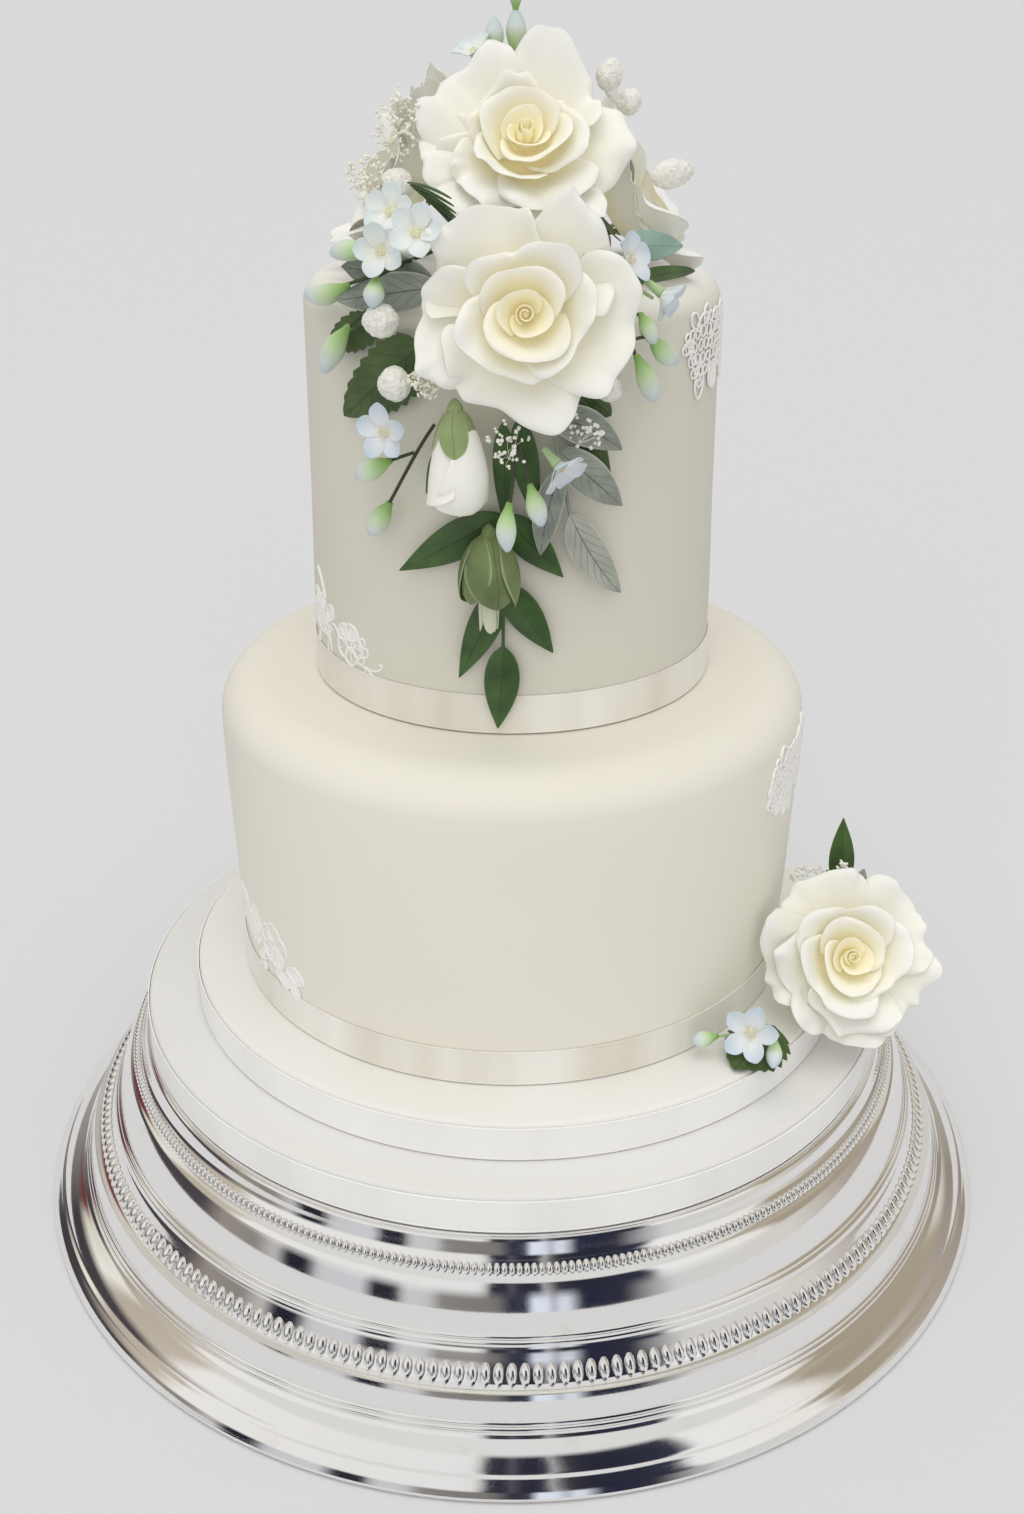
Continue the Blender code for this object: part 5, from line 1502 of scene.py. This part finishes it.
def makeSideSpray(dark, rose, pale, blue, budMaterial):
    rng = random.Random(83)
    stem = tube([Vector((0.1370, -0.0360, 0.1180)), Vector((0.1369, -0.0335, 0.1355)), Vector((0.1368, -0.0310, 0.1530))], 0.7 * mm)
    tall = makeLeaf("ruscus", Vector((0.1368, -0.0315, 0.1480)), Vector((0.1355, -0.0280, 0.1793)), 10.5 * mm, (0.0, -1.0, 0.0), rng)
    low = makeLeaf("ruscus", Vector((0.1370, -0.0355, 0.1250)), Vector((0.1600, -0.0330, 0.1400)), 7.0 * mm, (0.0, -0.8, 0.6), rng)
    finishLeaves([stem, tall, low], "dark_leaves_side", "side_leaves", "dark_leaf", dark)
    bits = [
        makeLeaf("ruscus", Vector((0.1500, -0.0420, 0.1480)), Vector((0.1565, -0.0470, 0.1530)), 3.6 * mm, (0.0, -0.8, 0.6), rng),
        makeLeaf("ruscus", Vector((0.1490, -0.0420, 0.1500)), Vector((0.1530, -0.0450, 0.1590)), 3.0 * mm, (0.0, -0.8, 0.6), rng),
        makeLeaf("ruscus", Vector((0.1310, -0.0400, 0.1500)), Vector((0.1275, -0.0420, 0.1630)), 3.6 * mm, (0.0, -0.8, 0.6), rng),
    ]
    ridesAlong(finishLeaves(bits, "dark_leaf_tips_side", None, None, dark))
    shy = makeLeaf("grey", Vector((0.1370, -0.0430, 0.1480)), Vector((0.1420, -0.0450, 0.1650)), 8.0 * mm, (0.0, -0.8, 0.6), rng)
    ridesAlong(finishLeaves([shy], "pale_leaf_side", None, None, pale))
    leaf = makeLeaf("rose", Vector((0.1030, -0.0850, 0.1170)), Vector((0.0850, -0.1080, 0.1135)), 24.0 * mm, (0.0, -0.35, 0.94), rng, {"arch": 0.02, "teeth": 8})
    finishLeaves([leaf], "serrated_leaf_side", "side_rose_leaf", "rose_leaf", rose)
    heart = Vector((0.0915, -0.0985, 0.1230))
    left = Vector((0.0795, -0.0980, 0.1215))
    below = Vector((0.1015, -0.0960, 0.1200))
    flower = makeBlossom(heart, (-0.25, -0.86, 0.45), 6.0, 10.5 * mm, rng, (0.36, 0.45, 1.0, 0.12))
    ties = [makeStalk([left, Vector((0.0900, -0.0930, 0.1190)), heart]), makeStalk([below, Vector((0.0960, -0.0930, 0.1195)), heart])]
    finishBlossoms([flower, *ties], "blossom_side", "side_blossoms", blue)
    buds = [makeBud(left, Vector((0.0690, -0.0990, 0.1195)), 3.7 * mm, rng), makeBud(below, Vector((0.0995, -0.1078, 0.1135)), 3.7 * mm, rng)]
    pair = joinPieces(buds, "buds_side")
    smooth(pair, 60.0)
    giveMaterial(pair, budMaterial)
    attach(pair, "root")
    print("side flowers ready")


# ---- sugar lace on the walls


class LacePatch:
    # draws in millimetres on a round wall: s to the right and t upwards from a spot on it
    def __init__(self, angle, height, wall):
        self.angle = angle
        self.height = height
        self.wall = wall
        self.pieces = []
        self.cords = []

    def spot(self, s, t, lift=0.0):
        height = self.height + t * mm
        radius = self.wall(height) + lift * mm
        turn = math.radians(self.angle) + s * mm / radius
        return Vector((radius * math.sin(turn), -radius * math.cos(turn), height))

    def cord(self, points, thickness=0.55, lift=0.40):
        self.cords.append(([self.spot(s, t, lift) for s, t in points], [0.95 * thickness] * len(points)))

    def loop(self, s, t, across, high, turn=0.0, thickness=0.5):
        # an oval ring of cord
        c, d = math.cos(math.radians(turn)), math.sin(math.radians(turn))
        points = []
        for k in range(13):
            a = 2.0 * math.pi * k / 12.0
            x, y = 0.5 * across * math.cos(a), 0.5 * high * math.sin(a)
            points.append((s + x * c - y * d, t + x * d + y * c))
        self.cord(points, thickness)

    def petal(self, s, t, turn, length, width, filled=True, fullest=0.6, thickness=0.5):
        # a leaf or petal outline of cord from its root, with a thin net of paste inside
        c, d = math.cos(math.radians(turn)), math.sin(math.radians(turn))

        def at(u, v):
            half = 0.5 * width * math.sin(math.pi * min(1.0, max(0.0, v)) ** (math.log(0.5) / math.log(fullest))) ** 0.8
            x, y = length * v, half * u
            return s + x * c - y * d, t + x * d + y * c

        path = [at(-1.0, k / 8.0) for k in range(9)] + [at(1.0, 1.0 - k / 8.0) for k in range(1, 9)]
        self.cord(path, thickness)
        if filled:
            sheet = shapedSheet(5, 6, lambda u, v: self.spot(*at(0.92 * u, 0.04 + 0.92 * v), 0.10), 0.5 * mm)
            self.pieces.append(sheet)
            self.cord([at(0.0, 0.12), at(0.0, 0.45), at(0.0, 0.8)], 0.30)

    def flower(self, s, t, reach, roll, petals=5):
        for k in range(petals):
            turn = roll + 360.0 * k / petals
            root = 0.16 * reach
            c, d = math.cos(math.radians(turn)), math.sin(math.radians(turn))
            self.petal(s + root * c, t + root * d, turn, 0.84 * reach, 0.92 * reach, True, 0.62, 0.6)
        self.loop(s, t, 0.40 * reach, 0.40 * reach, 0.0, 0.5)

    def net(self, inside, spacing, rng):
        # small rings and bars that fill the ground between the larger shapes
        reachS, reachT, tilt = inside
        rows = int(2.0 * reachT / spacing) + 1
        columns = int(2.0 * reachS / spacing) + 1
        for row in range(rows):
            for column in range(columns):
                x = -reachS + (column + 0.5 * (row % 2)) * spacing
                y = -reachT + row * spacing
                if (x / reachS) ** 2 + (y / reachT) ** 2 > 1.0:
                    continue
                c, d = math.cos(math.radians(tilt)), math.sin(math.radians(tilt))
                s = x * c - y * d + rng.uniform(-0.3, 0.3)
                t = x * d + y * c + rng.uniform(-0.3, 0.3)
                yield s, t

    def finish(self, name, node, material):
        made = joinPieces([*self.pieces, tubes(self.cords, 1.0 * mm, 1)], name)
        smooth(made, 70.0)
        giveMaterial(made, material)
        return standsFor(made, "sugar_lace", node)


def makeLace(material):
    upperLow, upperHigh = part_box("tier_upper")
    lowerLow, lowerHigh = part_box("tier_lower")

    def upperWall(height):
        share = max(0.0, min(1.0, (upperHigh.z - 10.0 * mm - height) / (75.0 * mm)))
        return (76.6 + 1.2 * share) * mm

    def lowerWall(height):
        if height > lowerHigh.z - 17.0 * mm:
            rise = (height - lowerHigh.z + 17.0 * mm) / (17.0 * mm)
            return (101.0 + 17.0 * math.sqrt(max(0.0, 1.0 - rise * rise))) * mm
        share = max(0.0, min(1.0, (lowerHigh.z - 30.0 * mm - height) / (70.0 * mm)))
        return (118.0 - 2.5 * share) * mm

    rng = random.Random(97)

    patch = LacePatch(-73.0, 0.1470, lowerWall)
    for s, t, turn, length, width in (
        (20.0, -6.0, 158.0, 26.0, 4.6), (21.0, -9.5, 166.0, 25.0, 4.4), (16.0, -2.0, 148.0, 17.0, 4.2),
        (24.0, -4.5, 170.0, 14.0, 3.8), (8.0, -4.0, 120.0, 10.0, 3.8), (13.0, -1.5, 105.0, 10.0, 3.6),
        (2.0, -8.0, 205.0, 8.0, 3.4), (28.0, -2.5, 140.0, 13.0, 4.4),
    ):
        patch.petal(s, t, turn, length, width, False)
    for s, t in patch.net((16.0, 7.0, -14.0), 3.3, rng):
        patch.loop(s + 10.0, t - 5.0, rng.uniform(2.4, 3.2), rng.uniform(2.4, 3.2), rng.uniform(0.0, 180.0), 0.45)
    patch.flower(37.5, -4.0, 10.5, 80.0)
    patch.loop(29.0, -12.0, 5.0, 6.5, -30.0, 0.6)
    patch.petal(47.0, -10.0, -12.0, 11.5, 7.0, True, 0.5)
    patch.petal(47.0, -12.0, -52.0, 13.0, 5.6, True, 0.5)
    patch.petal(38.0, -12.5, -38.0, 12.0, 5.0, True, 0.5)
    for turn in (100.0, 160.0, 220.0, 290.0):
        patch.petal(27.0, -16.0, turn, 4.6, 2.9, False, 0.62, 0.55)
    patch.cord([(27.0, -16.0), (30.0, -14.5), (33.0, -11.0)])
    patch.finish("lace_lower_left_relief", "lace_lower_left", material)

    patch = LacePatch(-75.5, 0.2685, upperWall)
    for s, t, turn, length, width in (
        (18.0, -3.0, 160.0, 20.0, 4.2), (17.0, -6.5, 172.0, 19.0, 4.0), (14.0, 2.0, 150.0, 14.0, 4.0),
        (17.0, -1.0, 60.0, 9.0, 6.0), (13.0, 1.0, 95.0, 9.0, 4.4), (6.0, -8.0, 240.0, 6.0, 3.0), (18.0, -6.0, 262.0, 9.0, 3.6),
    ):
        patch.petal(s, t, turn, length, width, turn < 100.0)
    for s, t in patch.net((12.0, 6.5, -6.0), 3.1, rng):
        patch.loop(s + 9.0, t - 2.0, rng.uniform(2.2, 3.0), rng.uniform(2.2, 3.0), rng.uniform(0.0, 180.0), 0.42)
    patch.cord([(15.0, 8.0), (13.5, 12.5), (10.5, 16.0), (7.0, 18.0)], 0.6)
    patch.cord([(20.0, -1.0), (23.0, 1.5), (24.5, -2.0), (27.0, -4.0)], 0.5)
    patch.flower(33.5, -4.5, 8.6, 65.0)
    for s, t in ((40.5, -9.0), (43.0, -5.5), (41.5, -2.0)):
        patch.loop(s, t, 3.4, 4.2, -40.0, 0.5)
    patch.cord([(37.0, -10.5), (42.0, -11.0), (47.0, -12.0), (51.0, -10.5), (52.5, -8.5), (50.5, -8.0)], 0.5)
    patch.cord([(43.0, -11.0), (46.0, -13.0), (49.0, -14.2)], 0.5)
    patch.loop(44.0, -12.8, 2.6, 1.9, 0.0, 0.45)
    patch.finish("lace_upper_left_relief", "lace_upper_left", material)

    patch = LacePatch(69.5, 0.3710, upperWall)
    for s, t in patch.net((26.0, 12.0, 0.0), 4.4, rng):
        across = rng.uniform(3.0, 4.2)
        patch.loop(s, t, across, rng.uniform(3.2, 4.6), rng.uniform(0.0, 180.0), 0.42)
    for s, t, turn, length, width in (
        (-16.0, 6.0, 130.0, 9.0, 5.0), (-10.0, 8.0, 95.0, 7.0, 5.0), (-14.0, -4.0, 262.0, 14.0, 6.5), (-6.0, -6.0, 285.0, 10.0, 5.0),
        (-20.0, 3.0, 200.0, 8.0, 4.0), (-6.0, 2.0, 60.0, 12.0, 5.5), (2.0, -4.0, 250.0, 13.0, 5.0), (8.0, 3.0, 95.0, 11.0, 5.0),
        (12.0, -6.0, 270.0, 9.0, 4.5), (18.0, 2.0, 80.0, 9.0, 4.5), (20.0, -4.0, 300.0, 8.0, 4.0), (-18.0, 8.0, 20.0, 9.0, 4.0),
    ):
        patch.petal(s, t, turn, length, width, rng.random() < 0.2, 0.6, 0.5)
    for k in range(9):
        patch.loop(-24.0 + 1.1 * k, 5.0 - 2.1 * k, 3.4, 3.0, 0.0, 0.5)
    patch.finish("lace_upper_right_relief", "lace_upper_right", material)

    patch = LacePatch(71.0, 0.2110, lowerWall)
    for s, t in patch.net((34.0, 12.0, 0.0), 3.7, rng):
        across = rng.uniform(2.8, 3.8)
        patch.loop(s, t, across, rng.uniform(2.8, 4.2), rng.uniform(0.0, 180.0), 0.50)
    for s, t, turn, length, width in (
        (-22.0, 2.0, 150.0, 10.0, 7.0), (-24.0, -3.0, 205.0, 10.0, 7.0), (-20.0, 6.0, 100.0, 9.0, 6.5), (-14.0, -6.0, 262.0, 12.0, 5.0),
        (-20.0, -6.0, 235.0, 9.0, 5.0), (-8.0, -4.0, 272.0, 15.0, 4.6), (-4.0, 3.0, 60.0, 13.0, 6.0), (4.0, -3.0, 280.0, 12.0, 5.0),
        (8.0, 5.0, 92.0, 12.0, 4.6), (16.0, 2.0, 80.0, 11.0, 5.0), (14.0, -6.0, 268.0, 9.0, 4.6), (22.0, -2.0, 290.0, 9.0, 5.0),
    ):
        patch.petal(s, t, turn, length, width, rng.random() < 0.35, 0.6, 0.62)
    for k in range(8):
        patch.loop(-30.0 + 0.5 * abs(k - 3.5) ** 1.6, 9.5 - 2.7 * k, 4.0, 3.6, 0.0, 0.6)
    patch.finish("lace_lower_right_relief", "lace_lower_right", material)
    print("lace ready")


makeStage()
silver = silverFinish()
icing = icingFinish("ivorySugarPaste", (0.86, 0.835, 0.75), (0.845, 0.815, 0.72))
# painted shade: the upper tier is a darker copy of the ivory icing, its walls shaded and its top kept lighter as
# painted light
paintedLitTop = {"height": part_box("tier_upper")[1].z, "depth": 9.0 * mm, "colour": (0.87, 0.855, 0.80)}
shadedUpperIcing = icingFinish("upperSugarPastePaintedShade", (0.735, 0.715, 0.635), (0.72, 0.695, 0.605), paintedLitTop)
boardIcing = icingFinish("paleBoardPaste", (0.85, 0.842, 0.81), (0.83, 0.818, 0.78))
drumIcing = icingFinish("whiteDrumPaste", (0.775, 0.772, 0.755), (0.755, 0.75, 0.73))
# each satin's three colours are the darker, middle and lighter streaks of its painted sheen
satin = satinFinish("ivorySatin", ((0.30, (0.74, 0.705, 0.61)), (0.52, (0.85, 0.825, 0.755)), (0.72, (0.94, 0.925, 0.885))))
boardSatin = satinFinish("whiteSatin", ((0.30, (0.89, 0.885, 0.87)), (0.52, (0.94, 0.938, 0.93)), (0.72, (0.97, 0.97, 0.965))))
makeStand(silver)
makeCake(icing, shadedUpperIcing, boardIcing, drumIcing, satin, boardSatin)
petalPaste = petalFinish()
sepalGreen = greenFinish("dustedSepalGreen", (0.20, 0.29, 0.12), (0.13, 0.20, 0.08))
makeRoses(petalPaste, sepalGreen)
darkLeaf = leafFinish("glossyRuscusGreen", (0.066, 0.140, 0.030), (0.030, 0.066, 0.018), (0.018, 0.036, 0.012), {
    "roughness": 0.38, "sideDepth": 0.0, "rib": 0.035, "depth": 0.4 * mm, "coat": 0.15,
})
roseLeaf = leafFinish("roseLeafGreen", (0.085, 0.14, 0.042), (0.050, 0.090, 0.028), (0.035, 0.06, 0.02), {
    "roughness": 0.45, "sideDepth": 0.75, "side": 0.10, "rib": 0.05, "depth": 0.5 * mm,
})
greyLeaf = leafFinish("dustyLeafGrey", (0.36, 0.385, 0.33), (0.20, 0.23, 0.205), (0.07, 0.09, 0.085), {
    "roughness": 0.75, "sideDepth": 0.55, "side": 0.07, "rib": 0.05, "edge": (0.52, 0.54, 0.47), "veinTint": 0.85,
})
paleLeaf = leafFinish("palestLeafGrey", (0.50, 0.51, 0.44), (0.36, 0.38, 0.33), (0.10, 0.14, 0.14), {
    "roughness": 0.75, "sideDepth": 0.75, "side": 0.08, "rib": 0.05, "edge": (0.56, 0.57, 0.50), "veinTint": 0.85, "pairs": 8.0,
})
tealLeaf = leafFinish("mutedTealLeaf", (0.40, 0.55, 0.48), (0.26, 0.42, 0.36), (0.30, 0.45, 0.40), {
    "roughness": 0.6, "sideDepth": 0.2,
})
budPaste = fadeFinish("budPaste", (
    (0.04, (0.05, 0.06, 0.03)), (0.07, (0.19, 0.34, 0.09)), (0.24, (0.33, 0.54, 0.18)), (0.46, (0.58, 0.73, 0.45)),
    (0.70, (0.70, 0.77, 0.74)), (1.0, (0.56, 0.66, 0.72)),
))
paleBlossom = fadeFinish("palestBlossomPaste", (
    (0.0, (0.45, 0.60, 0.32)), (0.12, (0.80, 0.79, 0.52)), (0.30, (0.88, 0.89, 0.82)), (0.6, (0.80, 0.845, 0.83)), (1.0, (0.66, 0.75, 0.76)),
))
blueBlossom = fadeFinish("paleBlueBlossomPaste", (
    (0.0, (0.42, 0.58, 0.32)), (0.12, (0.76, 0.70, 0.50)), (0.30, (0.85, 0.865, 0.84)), (0.6, (0.75, 0.80, 0.835)), (1.0, (0.57, 0.67, 0.76)),
))
berrySugar = sugaredFinish("sugaredBerry", (0.93, 0.92, 0.86))
creamHeads = newMaterial("creamGypsophila", (0.93, 0.91, 0.81), 0.7)
whiteHeads = newMaterial("whiteGypsophila", (0.93, 0.92, 0.87), 0.7)
paleSepal = leafFinish("paleSepalGreen", (0.36, 0.44, 0.22), (0.24, 0.32, 0.13), (0.24, 0.34, 0.14), {
    "sideDepth": 0.1, "edge": (0.55, 0.62, 0.40), "roughness": 0.55,
})
budSepal = leafFinish("closedBudGreen", (0.20, 0.26, 0.10), (0.11, 0.16, 0.060), (0.10, 0.14, 0.06), {
    "sideDepth": 0.3, "edge": (0.38, 0.44, 0.26), "roughness": 0.5, "pairs": 5.0,
})
creamGreen = newMaterial("creamGreenPaste", (0.66, 0.68, 0.52), 0.55)
makeRosebuds(petalPaste, budSepal, paleSepal, creamGreen)
makeLeaves(darkLeaf, roseLeaf, greyLeaf, paleLeaf, tealLeaf)
makeBuds(budPaste)
makeBlossoms(paleBlossom, blueBlossom)
makeBerries(berrySugar)
makeClusters(creamHeads, whiteHeads)
makeSideSpray(darkLeaf, roseLeaf, paleLeaf, blueBlossom, budPaste)
makeStems(darkLeaf)
lacePaste = newMaterial("pearlSugarLace", (0.93, 0.92, 0.90), 0.5, {"Specular IOR Level": 0.4})
bump(lacePaste, noise(lacePaste, objectCoords(lacePaste), 1200.0, 3.0), 0.35, 0.2 * mm)
makeLace(lacePaste)
